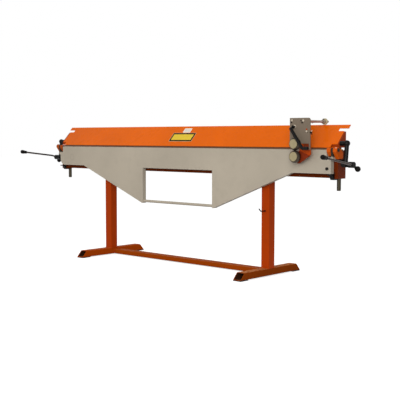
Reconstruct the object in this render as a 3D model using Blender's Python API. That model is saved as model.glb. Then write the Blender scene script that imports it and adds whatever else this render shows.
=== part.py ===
# Sheet metal brake on a floor stand: a lower beam with a steel bed, a bending beam that swings up about
# the bed's front edge, a clamping beam that two cranked levers lift on guide columns, and a roller cutter
# that runs along the lip of the clamping beam. X runs along the machine, -Y faces the person who works
# it, Z is up, and the pads under the feet stand on Z = 0.

import bpy
import bmesh
from math import cos, hypot, pi, radians, sin
from mathutils import Vector

for old in list(bpy.data.objects):
    bpy.data.objects.remove(old, do_unlink=True)

MM = 0.001

# Fits and working allowances
FIT_GAP = 0.3 * MM
MERGE = 0.001 * MM
OVERRUN = 12 * MM
FUSE_LAP = 3 * MM

# Whole machine
BEND_HEIGHT = 900 * MM
BED_LENGTH = 2735.4 * MM
POST_SPACING = 1660 * MM
GRIP_REACH = 397 * MM

# Stand
POST_SIZE = 70 * MM
STAND_WALL = 4 * MM
FOOT_LENGTH = 690 * MM
FOOT_HEIGHT = 50 * MM
FOOT_MITRE = 45 * MM
PAD_THICKNESS = 5.4 * MM
PAD_LENGTH = 85 * MM
CROSSBAR_DEPTH = 82 * MM
CROSSBAR_HEIGHT = 35 * MM
CROSSBAR_SETBACK = 41 * MM
HOOK_RADIUS = 4 * MM
HOOK_REACH = 50 * MM
HOOK_TIP = 20 * MM
HOOK_RISE = 19 * MM
HOOK_HEIGHT = 464 * MM
HOOK_BEND = 12 * MM

# Lower beam, bed and end boxes
BED_THICKNESS = 15 * MM
LOWER_BEAM_HEIGHT = 172 * MM
LOWER_BEAM_DEPTH = 90 * MM
LOWER_BEAM_LEAD = 34 * MM
BEAM_WALL = 5 * MM
END_BOX_WIDTH = 62 * MM
END_BOX_LEAD = 2 * MM
END_BOX_DROP = 3 * MM
END_BOX_SKIRT = 3.7 * MM
END_BOX_TOP = 8 * MM

# Guide columns and their bushes
COLUMN_RADIUS = 14 * MM
COLUMN_SETBACK = 25 * MM
COLUMN_TAIL = 82 * MM
BUSH_RADIUS = 20 * MM
BUSH_LENGTH = 97 * MM
BUSH_FLANGE_RADIUS = 25 * MM
BUSH_FLANGE = 6 * MM

# Hinge at each end of the bend line
BEND_SETBACK = 68 * MM
HINGE_PLAY = 2 * MM
HINGE_PIN_RADIUS = 8 * MM
HINGE_PIN_TAIL = 1.5 * MM
HINGE_HEAD_RADIUS = 12 * MM
HINGE_HEAD = 5.7 * MM
HINGE_BOSS_RADIUS = 18 * MM
HINGE_BOSS = 5 * MM
HINGE_WEB = 5 * MM
HINGE_WEB_INSET = 1 * MM
CHEEK_INSET = 4 * MM
INNER_CHEEK_WIDTH = 28 * MM
OUTER_CHEEK_WIDTH = 25 * MM
CHEEK_TOP = 12 * MM
CHEEK_FRONT = 17 * MM
CHEEK_CORNER = 6 * MM
INNER_CHEEK_DROP = 42 * MM
OUTER_CHEEK_DROP = 60 * MM
CHEEK_TAIL = 66 * MM
CHEEK_SLANT = 38 * MM
CHEEK_SLANT_DROP = 30 * MM
CHEEK_TAIL_CORNER = 9 * MM
CHEEK_FRONT_DROP = 12 * MM
CHEEK_TOE = 6 * MM

# Stops under the ends of the bending beam
STOP_INSET = 7 * MM
STOP_WIDTH = 30 * MM
STOP_THICKNESS = 8 * MM
STOP_TAIL = 40 * MM
STOP_KNEE = 18 * MM
STOP_LUG = 12 * MM

# Bending beam
BENDING_SHEET = 4 * MM
BENDING_LEAD = 12 * MM
BENDING_DEPTH = 39 * MM
BENDING_HEIGHT = 158.5 * MM
LEG_DROP = 283 * MM
LEG_SPAN = 2180 * MM
LEG_TIP_WIDTH = 9 * MM
OPENING_WIDTH = 736 * MM
OPENING_TOP = 162 * MM
SHOULDER_DROP = 50 * MM
CORNER_RADIUS = 55 * MM
EDGE_BAR_HEIGHT = 16 * MM
EAR_WIDTH = 16 * MM
EAR_RADIUS = 14 * MM
EAR_DROP = 70 * MM
EAR_NECK = 24 * MM
HANDLE_BAR_RADIUS = 10.5 * MM
HANDLE_BAR_RISE = 16.5 * MM
HANDLE_BAR_INSET = 18 * MM
STOP_BOLT_RADIUS = 10 * MM
STOP_BOLT_HEAD = 8 * MM
STOP_BOLT_SHANK = 5 * MM
STOP_BOLT_LENGTH = 20 * MM
STOP_BOLT_INSET = 27.7 * MM
STOP_BOLT_RISE = 34.5 * MM
STOP_BOLT_CHAMFER = 1 * MM

# Clamping beam
BLADE_INSET = 1.7 * MM
BLADE_HEIGHT = 13.4 * MM
BLADE_DEPTH = 96.5 * MM
NOSE_SETBACK = 1.5 * MM
CLAMP_SHEET = 4 * MM
CLAMP_FLOOR = 5 * MM
CLAMP_NOSE = 12 * MM
SLOPE_RUN = 144.7 * MM
SLOPE_RISE = 151.5 * MM
LIP_OVERHANG = 24.3 * MM
LIP_WIDTH = 32.1 * MM
SLOT_DEPTH = 46.7 * MM
SLOT_WIDTH = 26 * MM
SLOT_CORNER = 8 * MM
NOTCH_LENGTH = 41.7 * MM
NOTCH_DEPTH = 26 * MM
NOTCH_HEIGHT = 34 * MM
END_PLATE = 10 * MM
END_PLATE_HEIGHT = 106 * MM
TRIM_PLATE_THICKNESS = 0.7 * MM
YELLOW_WIDTH = 241 * MM
YELLOW_HEIGHT = 92 * MM
YELLOW_SHIFT = 15 * MM
YELLOW_RISE = 47 * MM
WHITE_WIDTH = 79 * MM
WHITE_HEIGHT = 45 * MM
WHITE_SHIFT = 5 * MM
WHITE_GAP = 3 * MM

# Links between the clamping beam and the cranks
LINK_LEAD = 8 * MM
LINK_RISE = 28 * MM
LINK_SHANK_RADIUS = 8 * MM
LINK_PIN_RADIUS = 16 * MM
LINK_PIN_END = 14 * MM
BOSS_LENGTH = 45 * MM
BOSS_DEPTH = 42 * MM
BOSS_GAP = 1 * MM
TIE_OFFSET = 48 * MM
EYE_RADIUS = 21 * MM
TIE_RADIUS = 15 * MM
STRAP_WIDTH = 32 * MM
STRAP_WALL = 6.5 * MM
PIN_PLAY = 0.5 * MM

# Cranks and levers
PIVOT_LEAD = 8.8 * MM
PIVOT_DROP = 75 * MM
CRANK_THROW = 24.5 * MM
CRANK_REST = radians(-60)
CRANK_TRAVEL = radians(110)
SHAFT_RADIUS = 10 * MM
SHAFT_LENGTH = 45 * MM
WEB_THICKNESS = 13 * MM
WEB_GAP = 2 * MM
WEB_RADIUS = 15 * MM
WEB_PIN_RADIUS = 13 * MM
CRANK_PIN_RADIUS = 8 * MM
HUB_RADIUS = 20 * MM
HUB_LENGTH = 45 * MM
HUB_GAP = 1 * MM
HUB_CHAMFER = 2 * MM
SOCKET_FLOOR = 8 * MM
LEVER_RADIUS = 7 * MM
LEVER_OUT = 20 * MM
LEVER_FORWARD = 43 * MM
LEVER_UP = 4 * MM
LEVER_BEND = 22 * MM
GRIP_RISE = 58 * MM
GRIP_RADIUS = 16 * MM
GRIP_LENGTH = 60 * MM
GRIP_END = 8 * MM
GRIP_ROUND = 5 * MM
KNOB_RADIUS = 19 * MM
KNOB_OUT = 23.5 * MM
KNOB_BACK = 39 * MM
KNOB_DOWN = 28 * MM
KNOB_NECK = 6 * MM

# Roller cutter
CUTTER_POSITION = 1195 * MM
PLATE_WIDTH = 170 * MM
PLATE_HEIGHT = 170 * MM
PLATE_THICKNESS = 8 * MM
PLATE_LEAD = 67 * MM
PLATE_RISE = 40 * MM
PLATE_CORNER = 16 * MM
PLATE_STRIP = 9 * MM
PLATE_STRIP_DROP = 41 * MM
TONGUE_RADIUS = 25 * MM
KNIFE_RADIUS = 42.35 * MM
KNIFE_DEPTH = 23.4 * MM
KNIFE_BEVEL = 6 * MM
KNIFE_BEVEL_DEPTH = 12 * MM
KNIFE_RISE = 38 * MM
KNIFE_OFFSET = 36 * MM
KNIFE_HUB_RADIUS = 15 * MM
CAP_RADIUS = 31 * MM
CAP_THICKNESS = 5.7 * MM
CAP_CHAMFER = 2 * MM
BRACKET_THICKNESS = 12 * MM
BRACKET_WIDTH = 124 * MM
BRACKET_HEIGHT = 150 * MM
BRACKET_DROP = 95 * MM
BRACKET_HUB = 25 * MM
ARM_RADIUS = 8.3 * MM
LEFT_ARM_OFFSET = 70 * MM
RIGHT_ARM_OFFSET = 44 * MM
WHEEL_RADIUS = 22 * MM
WHEEL_WIDTH = 12 * MM
WHEEL_CHAMFER = 2 * MM
CROSS_TUBE_RADIUS = 7 * MM
CROSS_TUBE_TAIL = 5 * MM
CROSS_SETBACK = 23.3 * MM
SHOE_OFFSET = 130 * MM
SHOE_WIDTH = 40 * MM
SHOE_GRIP = 18 * MM
SHOE_LIP = 6 * MM
SHOE_EAR_RADIUS = 12 * MM
SHOE_NECK = 10 * MM
PUSH_RADIUS = 11 * MM
PUSH_LEAD = 42 * MM
PUSH_TOP_OFFSET = 49 * MM
PUSH_TOP_RISE = 144 * MM
PUSH_LOW_OFFSET = 44 * MM
PUSH_LOW_RISE = 9 * MM
PUSH_END_OFFSET = 95 * MM
PUSH_BEND = 14 * MM

# Outline of the knife bracket, as shares of its width and height, from the knives' centre line and its foot
BRACKET_SHARES = ((0.455, 1.0), (0.948, 1.0), (0.972, 0.613), (1.0, 0.44), (0.9, 0.363), (0.25, 0.01),
                  (0.0, 0.14), (0.0, 0.487), (0.21, 0.603))

# Roundness
SIDES = 24
FINE_SIDES = 40
ARC_STEPS = 8
GRIP_STEPS = 3
BEND_STEPS = 6
BALL_RINGS = 10
CURVE_ROUNDNESS = 4
SHARP_ANGLE = radians(32)

# Finishes: colour, roughness, metallic
ORANGE = ((0.76, 0.145, 0.01), 0.32, 0.0)
STAND_ORANGE = ((0.38, 0.05, 0.004), 0.36, 0.0)
DARK_ORANGE = ((0.30, 0.04, 0.006), 0.4, 0.0)
SHEET_GREY = ((0.42, 0.37, 0.29), 0.42, 0.0)
BLACK = ((0.012, 0.012, 0.013), 0.38, 0.0)
DARK_STEEL = ((0.09, 0.088, 0.085), 0.4, 0.9)
BRIGHT_STEEL = ((0.55, 0.54, 0.52), 0.28, 1.0)
PLATE_GREY = ((0.21, 0.185, 0.145), 0.45, 0.2)
CREAM = ((0.52, 0.46, 0.29), 0.4, 0.0)
YELLOW = ((0.85, 0.60, 0.03), 0.5, 0.0)
WHITE = ((0.75, 0.75, 0.73), 0.5, 0.0)
BRASS = ((0.62, 0.45, 0.18), 0.35, 1.0)

# Places worked out from the sizes

# The posts stand back from the origin, so that the machine's outline is centred on it.
post_y = (GRIP_REACH - FOOT_LENGTH / 2) / 2
post_x = POST_SPACING / 2
foot_bottom = PAD_THICKNESS + FIT_GAP
foot_top = foot_bottom + FOOT_HEIGHT

bend_y = post_y - BEND_SETBACK
bed_half = BED_LENGTH / 2
bed_bottom = BEND_HEIGHT - BED_THICKNESS
beam_top = bed_bottom - FIT_GAP
beam_bottom = beam_top - LOWER_BEAM_HEIGHT
beam_front = post_y - LOWER_BEAM_LEAD
beam_rear = beam_front + LOWER_BEAM_DEPTH

box_in = bed_half + FIT_GAP
box_out = box_in + END_BOX_WIDTH
box_front = beam_front - END_BOX_LEAD
box_top = BEND_HEIGHT - END_BOX_DROP
box_bottom = beam_bottom - END_BOX_SKIRT

column_x = (box_in + box_out) / 2
column_y = post_y + COLUMN_SETBACK

clamp_z = BEND_HEIGHT + BLADE_HEIGHT + 2 * FIT_GAP
nose_y = bend_y + CLAMP_NOSE
lip_y = nose_y + SLOPE_RUN
lip_z = clamp_z + SLOPE_RISE
slope_length = hypot(SLOPE_RUN, SLOPE_RISE)
up_slope = (SLOPE_RUN / slope_length, SLOPE_RISE / slope_length)
off_slope = (-up_slope[1], up_slope[0])
end_plate_in = box_out - END_PLATE
clamp_half = end_plate_in - FIT_GAP

cheek_in = box_in + CHEEK_INSET
inner_cheek_out = cheek_in + INNER_CHEEK_WIDTH
ear_in = inner_cheek_out + HINGE_PLAY
ear_out = ear_in + EAR_WIDTH
outer_cheek_in = ear_out + HINGE_PLAY
outer_cheek_out = outer_cheek_in + OUTER_CHEEK_WIDTH
web_front = box_front - FIT_GAP - HINGE_WEB
boss_out = outer_cheek_out + HINGE_BOSS

tray_half = ear_in - FIT_GAP
tray_front = bend_y - BENDING_LEAD
tray_rear = tray_front + BENDING_DEPTH
tray_bottom = BEND_HEIGHT - BENDING_HEIGHT
leg_bottom = tray_bottom - LEG_DROP
shoulder_z = BEND_HEIGHT - SHOULDER_DROP

link_y = post_y - LINK_LEAD
link_z = clamp_z + LINK_RISE
tie_x = box_out + TIE_OFFSET
pivot_y = post_y - PIVOT_LEAD
pivot_z = BEND_HEIGHT - PIVOT_DROP
crank_y = pivot_y - CRANK_THROW * cos(CRANK_REST)
crank_z = pivot_z + CRANK_THROW * sin(CRANK_REST)
lift = CRANK_THROW * (sin(CRANK_REST + CRANK_TRAVEL) - sin(CRANK_REST))
web_in = outer_cheek_out + WEB_GAP
web_out = web_in + WEB_THICKNESS
hub_in = tie_x + EYE_RADIUS + HUB_GAP
hub_out = hub_in + HUB_LENGTH
hub_x = (hub_in + hub_out) / 2

plate_left = CUTTER_POSITION - PLATE_WIDTH / 2
plate_right = plate_left + PLATE_WIDTH
plate_front = bend_y - PLATE_LEAD
plate_rear = plate_front + PLATE_THICKNESS
plate_bottom = BEND_HEIGHT + PLATE_RISE
plate_top = plate_bottom + PLATE_HEIGHT
knife_x = CUTTER_POSITION - KNIFE_OFFSET
upper_knife_z = BEND_HEIGHT + KNIFE_RISE
lower_knife_z = upper_knife_z - 2 * KNIFE_RADIUS - FIT_GAP
knife_rear = plate_front - FIT_GAP
knife_front = knife_rear - KNIFE_DEPTH
bracket_front = plate_rear + FIT_GAP
bracket_rear = bracket_front + BRACKET_THICKNESS
arm_z = lip_z + FIT_GAP + WHEEL_RADIUS
left_arm_x = CUTTER_POSITION - LEFT_ARM_OFFSET
right_arm_x = CUTTER_POSITION + RIGHT_ARM_OFFSET
cross_y = lip_y + CROSS_SETBACK
shoe_x = CUTTER_POSITION - SHOE_OFFSET
arm_front = plate_rear + FIT_GAP


def slope_point(along, out):
    """A point (y, z) of the clamping beam, measured along its slope from the lip's edge, and out from it."""
    return (lip_y + along * up_slope[0] + out * off_slope[0],
            lip_z + along * up_slope[1] + out * off_slope[1])


def slope_z(y, out=0.0):
    """Height of the slope, or of a plane that lies out from it, at a distance y."""
    share = (y - nose_y) / SLOPE_RUN
    return clamp_z + share * SLOPE_RISE + out / up_slope[0]


def arc(centre, radius, first, last, steps=ARC_STEPS):
    """Points of an arc, its ends included."""
    return [(centre[0] + radius * cos(first + (last - first) * i / steps),
             centre[1] + radius * sin(first + (last - first) * i / steps)) for i in range(steps + 1)]


def circle(centre, radius, sides=SIDES):
    """Points of a circle."""
    return arc(centre, radius, 0.0, 2 * pi, sides)[:-1]


def hull(points):
    """The outline drawn tight round a set of points."""
    ordered = sorted(set(points))
    chains = []
    for run in (ordered, ordered[::-1]):
        chain = []
        for point in run:
            while len(chain) > 1:
                a, b = chain[-2], chain[-1]
                turn = (b[0] - a[0]) * (point[1] - a[1]) - (b[1] - a[1]) * (point[0] - a[0])
                if turn > 0:
                    break
                chain.pop()
            chain.append(point)
        chains.extend(chain[:-1])
    return chains


def inset(points, distance):
    """An outline drawn inside another, which runs against the clock, by one distance from every edge."""
    result = []
    count = len(points)
    for i in range(count):
        a, b, c = (Vector(points[(i + k) % count]) for k in (-1, 0, 1))
        first = (b - a).normalized()
        second = (c - b).normalized()
        first_in = Vector((-first.y, first.x))
        second_in = Vector((-second.y, second.x))
        middle = first_in + second_in
        reach = distance / (1 + first_in.dot(second_in))
        result.append(tuple(b + middle * reach))
    return result


def anchor(name, place, parent=None):
    """An empty on a joint's axis, which carries the pieces that move there."""
    empty = bpy.data.objects.new(name, None)
    bpy.context.scene.collection.objects.link(empty)
    empty["place"] = place
    empty.parent = parent
    empty.location = Vector(place) - (Vector(parent["place"]) if parent else Vector())
    return empty


def dress(obj, look, parent, centre):
    """Link an object, give it its own material, and hang it on the empty that carries it."""
    bpy.context.scene.collection.objects.link(obj)
    if look:
        colour, roughness, metallic = look
        material = bpy.data.materials.new(obj.name)
        material.use_nodes = True
        shader = material.node_tree.nodes["Principled BSDF"]
        shader.inputs["Base Color"].default_value = (*colour, 1.0)
        shader.inputs["Roughness"].default_value = roughness
        shader.inputs["Metallic"].default_value = metallic
        obj.data.materials.append(material)
    obj.parent = parent
    obj.location = Vector(centre) - (Vector(parent["place"]) if parent else Vector())
    return obj


def solid(name, mesh_data, look=None, parent=None):
    """One object from a closed mesh drawn in the machine's coordinates, its origin on the axis it moves on."""
    centre = Vector(parent["place"]) if parent else Vector()
    bmesh.ops.recalc_face_normals(mesh_data, faces=mesh_data.faces)
    bmesh.ops.translate(mesh_data, verts=mesh_data.verts, vec=-centre)
    mesh = bpy.data.meshes.new(name)
    mesh_data.to_mesh(mesh)
    mesh_data.free()
    mesh.shade_smooth()
    mesh.set_sharp_from_angle(angle=SHARP_ANGLE)
    return dress(bpy.data.objects.new(name, mesh), look, parent, centre)


def extrude(name, ring, shift, look=None, parent=None):
    """Extrude a flat ring of points along a vector."""
    shape = bmesh.new()
    face = shape.faces.new([shape.verts.new(point) for point in ring])
    grown = bmesh.ops.extrude_face_region(shape, geom=[face])
    moved = [item for item in grown["geom"] if isinstance(item, bmesh.types.BMVert)]
    bmesh.ops.translate(shape, verts=moved, vec=shift)
    return solid(name, shape, look, parent)


def prism_x(name, outline, start, end, look=None, parent=None):
    """Extrude an outline of (y, z) points along X."""
    return extrude(name, [(start, y, z) for y, z in outline], (end - start, 0, 0), look, parent)


def prism_y(name, outline, start, end, look=None, parent=None):
    """Extrude an outline of (x, z) points along Y."""
    return extrude(name, [(x, start, z) for x, z in outline], (0, end - start, 0), look, parent)


def box(name, low, high, look=None, parent=None):
    """A box between two corners."""
    outline = [(low[0], low[2]), (high[0], low[2]), (high[0], high[2]), (low[0], high[2])]
    return prism_y(name, outline, low[1], high[1], look, parent)


def turned(name, profile, foot, axis, look=None, parent=None, sides=SIDES):
    """Turn a profile of (radius, distance from the foot) points round an axis."""
    shape = bmesh.new()
    verts = [shape.verts.new((radius, 0, along)) for radius, along in profile]
    edges = []
    for i, vert in enumerate(verts):
        following = (i + 1) % len(verts)
        if profile[i][0] > 0 or profile[following][0] > 0:
            edges.append(shape.edges.new((vert, verts[following])))
    bmesh.ops.spin(shape, geom=verts + edges, cent=(0, 0, 0), axis=(0, 0, 1), dvec=(0, 0, 0),
                   angle=2 * pi, steps=sides, use_merge=True)
    bmesh.ops.remove_doubles(shape, verts=shape.verts, dist=MERGE)
    turn = Vector((0, 0, 1)).rotation_difference(Vector(axis)).to_matrix()
    bmesh.ops.rotate(shape, verts=shape.verts, cent=(0, 0, 0), matrix=turn)
    bmesh.ops.translate(shape, verts=shape.verts, vec=Vector(foot))
    return solid(name, shape, look, parent)


def cylinder(name, start, end, radius, look=None, parent=None, sides=SIDES, chamfer=0.0):
    """A round bar between two points, with its far end chamfered where that is asked for."""
    run = Vector(end) - Vector(start)
    length = run.length
    profile = [(0, 0), (radius, 0), (radius, length - chamfer)]
    if chamfer:
        profile.append((radius - chamfer, length))
    profile.append((0, length))
    return turned(name, profile, start, run.normalized(), look, parent, sides)


def ball(name, centre, radius, look=None, parent=None):
    """A ball."""
    profile = [(radius * sin(pi * i / BALL_RINGS), -radius * cos(pi * i / BALL_RINGS))
               for i in range(1, BALL_RINGS)]
    profile = [(0, -radius)] + profile + [(0, radius)]
    return turned(name, profile, centre, (0, 0, 1), look, parent)


def bent_bar(name, corners, radius, bend, look, parent=None):
    """A round bar along straight runs, with a bend of one radius at each corner between them."""
    points = [Vector(corners[0])]
    for before, corner, after in zip(corners, corners[1:], corners[2:]):
        corner = Vector(corner)
        back = (Vector(before) - corner).normalized()
        on = (Vector(after) - corner).normalized()
        half = back.angle(on) / 2
        centre = corner + (back + on).normalized() * (bend / sin(half))
        start = corner + back * (bend * cos(half) / sin(half)) - centre
        stop = corner + on * (bend * cos(half) / sin(half)) - centre
        for i in range(BEND_STEPS + 1):
            points.append(centre + start.slerp(stop, i / BEND_STEPS).normalized() * bend)
    points.append(Vector(corners[-1]))
    centre = Vector(parent["place"]) if parent else Vector()
    curve = bpy.data.curves.new(name, "CURVE")
    curve.dimensions = "3D"
    curve.bevel_depth = radius
    curve.bevel_resolution = CURVE_ROUNDNESS
    curve.use_fill_caps = True
    spline = curve.splines.new("POLY")
    spline.points.add(len(points) - 1)
    for spot, point in zip(spline.points, points):
        spot.co = (*(point - centre), 1.0)
    return dress(bpy.data.objects.new(name, curve), look, parent, centre)


def combine(target, other, operation):
    """Join a helper shape to a piece, or cut it away; the helper itself is no piece."""
    change = target.modifiers.new(other.name, "BOOLEAN")
    change.operation = operation
    change.solver = "EXACT"
    change.object = other
    other.hide_render = True
    other.display_type = "WIRE"


def fuse(target, other):
    combine(target, other, "UNION")


def cut(target, other):
    combine(target, other, "DIFFERENCE")


def bore(target, start, end, radius, sides=SIDES):
    """Cut a round hole whose flats, not its corners, keep the fit's gap to the bar inside."""
    clear = (radius + FIT_GAP) / cos(pi / sides)
    number = len(target.modifiers)
    cut(target, cylinder(f"{target.name}_bore_{number}", start, end, clear, sides=sides))


def square_tube(name, low, high, wall, axis, look):
    """A square tube, open at both ends of its axis."""
    piece = box(name, low, high, look)
    inner_low = [low[i] + wall for i in range(3)]
    inner_high = [high[i] - wall for i in range(3)]
    inner_low[axis] = low[axis] - OVERRUN
    inner_high[axis] = high[axis] + OVERRUN
    cut(piece, box(f"{name}_inside", inner_low, inner_high))
    return piece


# Empties on the joints' axes
bending_axis = anchor("bending_axis", (0, bend_y, BEND_HEIGHT))
clamp_lift = anchor("clamp_lift", (0, column_y, clamp_z))
lever_axes = {side: anchor(f"lever_axis_{word}", (side * web_in, pivot_y, pivot_z))
              for side, word in ((-1, "left"), (1, "right"))}
shoe_slide = anchor("shoe_slide", (shoe_x, cross_y, arm_z), clamp_lift)
cutter_swing = anchor("cutter_swing", (CUTTER_POSITION, cross_y, arm_z), shoe_slide)
upper_spin = anchor("upper_knife_spin", (knife_x, knife_rear, upper_knife_z), cutter_swing)
lower_spin = anchor("lower_knife_spin", (knife_x, knife_rear, lower_knife_z), cutter_swing)
wheel_spin = anchor("wheel_spin", (right_arm_x, lip_y, arm_z), cutter_swing)

# Stand: feet with mitred ends, pads, posts, crossbar and hook
for side, word in ((-1, "left"), (1, "right")):
    x = side * post_x
    half = FOOT_LENGTH / 2
    outline = [(post_y - half, foot_bottom), (post_y + half, foot_bottom),
               (post_y + half - FOOT_MITRE, foot_top), (post_y - half + FOOT_MITRE, foot_top)]
    foot = prism_x(f"foot_{word}", outline, x - POST_SIZE / 2, x + POST_SIZE / 2, STAND_ORANGE)
    cut(foot, box(f"foot_inside_{word}",
                  (x - POST_SIZE / 2 + STAND_WALL, post_y - half - OVERRUN, foot_bottom + STAND_WALL),
                  (x + POST_SIZE / 2 - STAND_WALL, post_y + half + OVERRUN, foot_top - STAND_WALL)))
    for way, place in ((-1, "front"), (1, "rear")):
        ends = sorted((post_y + way * half, post_y + way * (half - PAD_LENGTH)))
        box(f"foot_pad_{word}_{place}", (x - POST_SIZE / 2, ends[0], 0),
            (x + POST_SIZE / 2, ends[1], PAD_THICKNESS), BLACK)
    square_tube(f"post_{word}", (x - POST_SIZE / 2, post_y - POST_SIZE / 2, foot_top + FIT_GAP),
                (x + POST_SIZE / 2, post_y + POST_SIZE / 2, beam_bottom - FIT_GAP),
                STAND_WALL, 2, STAND_ORANGE)

crossbar_half = post_x - POST_SIZE / 2 - FIT_GAP
square_tube("crossbar",
            (-crossbar_half, post_y + CROSSBAR_SETBACK - CROSSBAR_DEPTH / 2, foot_bottom),
            (crossbar_half, post_y + CROSSBAR_SETBACK + CROSSBAR_DEPTH / 2, foot_bottom + CROSSBAR_HEIGHT),
            STAND_WALL, 0, DARK_ORANGE)

hook_y = post_y - POST_SIZE / 2 - FIT_GAP
bent_bar("tool_hook",
         [(post_x, hook_y, HOOK_HEIGHT), (post_x, hook_y - HOOK_REACH, HOOK_HEIGHT),
          (post_x, hook_y - HOOK_REACH - HOOK_TIP, HOOK_HEIGHT + HOOK_RISE)],
         HOOK_RADIUS, HOOK_BEND, BLACK)

# Lower beam and the steel bed that the sheet lies on
square_tube("lower_beam", (-bed_half, beam_front, beam_bottom), (bed_half, beam_rear, beam_top),
            BEAM_WALL, 0, DARK_ORANGE)
box("bed_strip", (-bed_half, bend_y + FIT_GAP, bed_bottom), (bed_half, beam_rear, BEND_HEIGHT), DARK_STEEL)

for side, word in ((-1, "left"), (1, "right")):
    # End box, open below, with the bush for the guide column and the bore for the crank's shaft
    xs = sorted((side * box_in, side * box_out))
    end_box = box(f"end_box_{word}", (xs[0], box_front, box_bottom), (xs[1], beam_rear, box_top), DARK_ORANGE)
    cut(end_box, box(f"end_box_inside_{word}",
                     (xs[0] + BEAM_WALL, box_front + BEAM_WALL, box_bottom - OVERRUN),
                     (xs[1] - BEAM_WALL, beam_rear - BEAM_WALL, box_top - END_BOX_TOP)))
    bush_foot = box_top + FIT_GAP - BUSH_LENGTH
    bore(end_box, (side * column_x, column_y, box_top - END_BOX_TOP - OVERRUN),
         (side * column_x, column_y, box_top + OVERRUN), BUSH_RADIUS)
    bore(end_box, (side * (box_out - BEAM_WALL - OVERRUN), pivot_y, pivot_z),
         (side * (box_out + OVERRUN), pivot_y, pivot_z), SHAFT_RADIUS)
    bush_bore = (COLUMN_RADIUS + FIT_GAP) / cos(pi / SIDES)
    bush_top = BUSH_LENGTH + BUSH_FLANGE
    turned(f"guide_bush_{word}",
           [(bush_bore, 0), (BUSH_RADIUS, 0), (BUSH_RADIUS, BUSH_LENGTH), (BUSH_FLANGE_RADIUS, BUSH_LENGTH),
            (BUSH_FLANGE_RADIUS, bush_top), (bush_bore, bush_top)],
           (side * column_x, column_y, bush_foot), (0, 0, 1), BRASS)

    # Forked hinge bracket: two cheeks, a web against the end box, and a boss round the pin
    low = BEND_HEIGHT - INNER_CHEEK_DROP
    tail = bend_y + CHEEK_TAIL
    top = BEND_HEIGHT + CHEEK_TOP
    face = bend_y - CHEEK_FRONT
    front_edge = [(face + CHEEK_CORNER, top), (face, top - CHEEK_CORNER), (face, BEND_HEIGHT - CHEEK_FRONT_DROP)]
    bracket = prism_x(f"hinge_bracket_{word}",
                      [(box_front + FUSE_LAP, top)] + front_edge + [(bend_y + CHEEK_TOE, low),
                                                                   (box_front + FUSE_LAP, low)],
                      side * cheek_in, side * inner_cheek_out, ORANGE)
    low = BEND_HEIGHT - OUTER_CHEEK_DROP
    fuse(bracket, prism_x(f"outer_cheek_{word}",
                          [(tail - CHEEK_SLANT, top)] + front_edge
                          + [(web_front - CHEEK_TAIL_CORNER, low), (tail - CHEEK_TAIL_CORNER, low),
                             (tail, low + CHEEK_TAIL_CORNER), (tail, top - CHEEK_SLANT_DROP)],
                          side * outer_cheek_in, side * outer_cheek_out))
    xs = sorted((side * (cheek_in + HINGE_WEB_INSET), side * (outer_cheek_out - HINGE_WEB_INSET)))
    fuse(bracket, box(f"hinge_web_{word}",
                      (xs[0], web_front, BEND_HEIGHT - INNER_CHEEK_DROP + HINGE_WEB_INSET),
                      (xs[1], box_front + FUSE_LAP / 2, top - HINGE_WEB_INSET)))
    fuse(bracket, cylinder(f"hinge_boss_{word}", (side * (outer_cheek_out - HINGE_WEB_INSET), bend_y, BEND_HEIGHT),
                           (side * boss_out, bend_y, BEND_HEIGHT), HINGE_BOSS_RADIUS))
    xs = sorted((side * (cheek_in - OVERRUN), side * (box_out + FIT_GAP)))
    cut(bracket, box(f"hinge_bracket_seat_{word}", (xs[0], box_front - FIT_GAP, low - OVERRUN),
                     (xs[1], beam_rear, top + OVERRUN)))
    bore(bracket, (side * (cheek_in - OVERRUN), bend_y, BEND_HEIGHT),
         (side * (boss_out + OVERRUN), bend_y, BEND_HEIGHT), HINGE_PIN_RADIUS)

    # Hinge pin with its head outside
    reach = boss_out + FIT_GAP - cheek_in + HINGE_PIN_TAIL
    turned(f"hinge_pin_{word}",
           [(0, 0), (HINGE_PIN_RADIUS, 0), (HINGE_PIN_RADIUS, reach), (HINGE_HEAD_RADIUS, reach),
            (HINGE_HEAD_RADIUS, reach + HINGE_HEAD), (0, reach + HINGE_HEAD)],
           (side * (cheek_in - HINGE_PIN_TAIL), bend_y, BEND_HEIGHT), (side, 0, 0), DARK_STEEL)

    # Stop below the end box: its lug stands behind the bending beam's rear edge and its pad reaches below
    # the beam, clear of that edge's path
    seat = box_bottom - FIT_GAP
    pad = BEND_HEIGHT - hypot(tray_rear - bend_y, BENDING_HEIGHT) - FIT_GAP
    lug_front = tray_rear + FIT_GAP
    lug_rear = box_front - FIT_GAP
    lug_top = tray_bottom + STOP_LUG
    stop_tail = box_front + STOP_TAIL
    knee = lug_front - STOP_KNEE
    prism_x(f"apron_stop_{word}",
            [(stop_tail, seat), (lug_rear, seat), (lug_rear, lug_top), (lug_front, lug_top),
             (lug_front, pad), (tray_front, pad), (tray_front, pad - STOP_THICKNESS),
             (knee, pad - STOP_THICKNESS), (lug_front, seat - STOP_THICKNESS),
             (stop_tail, seat - STOP_THICKNESS)],
            side * (box_in + STOP_INSET), side * (box_in + STOP_INSET + STOP_WIDTH), BLACK)

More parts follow.
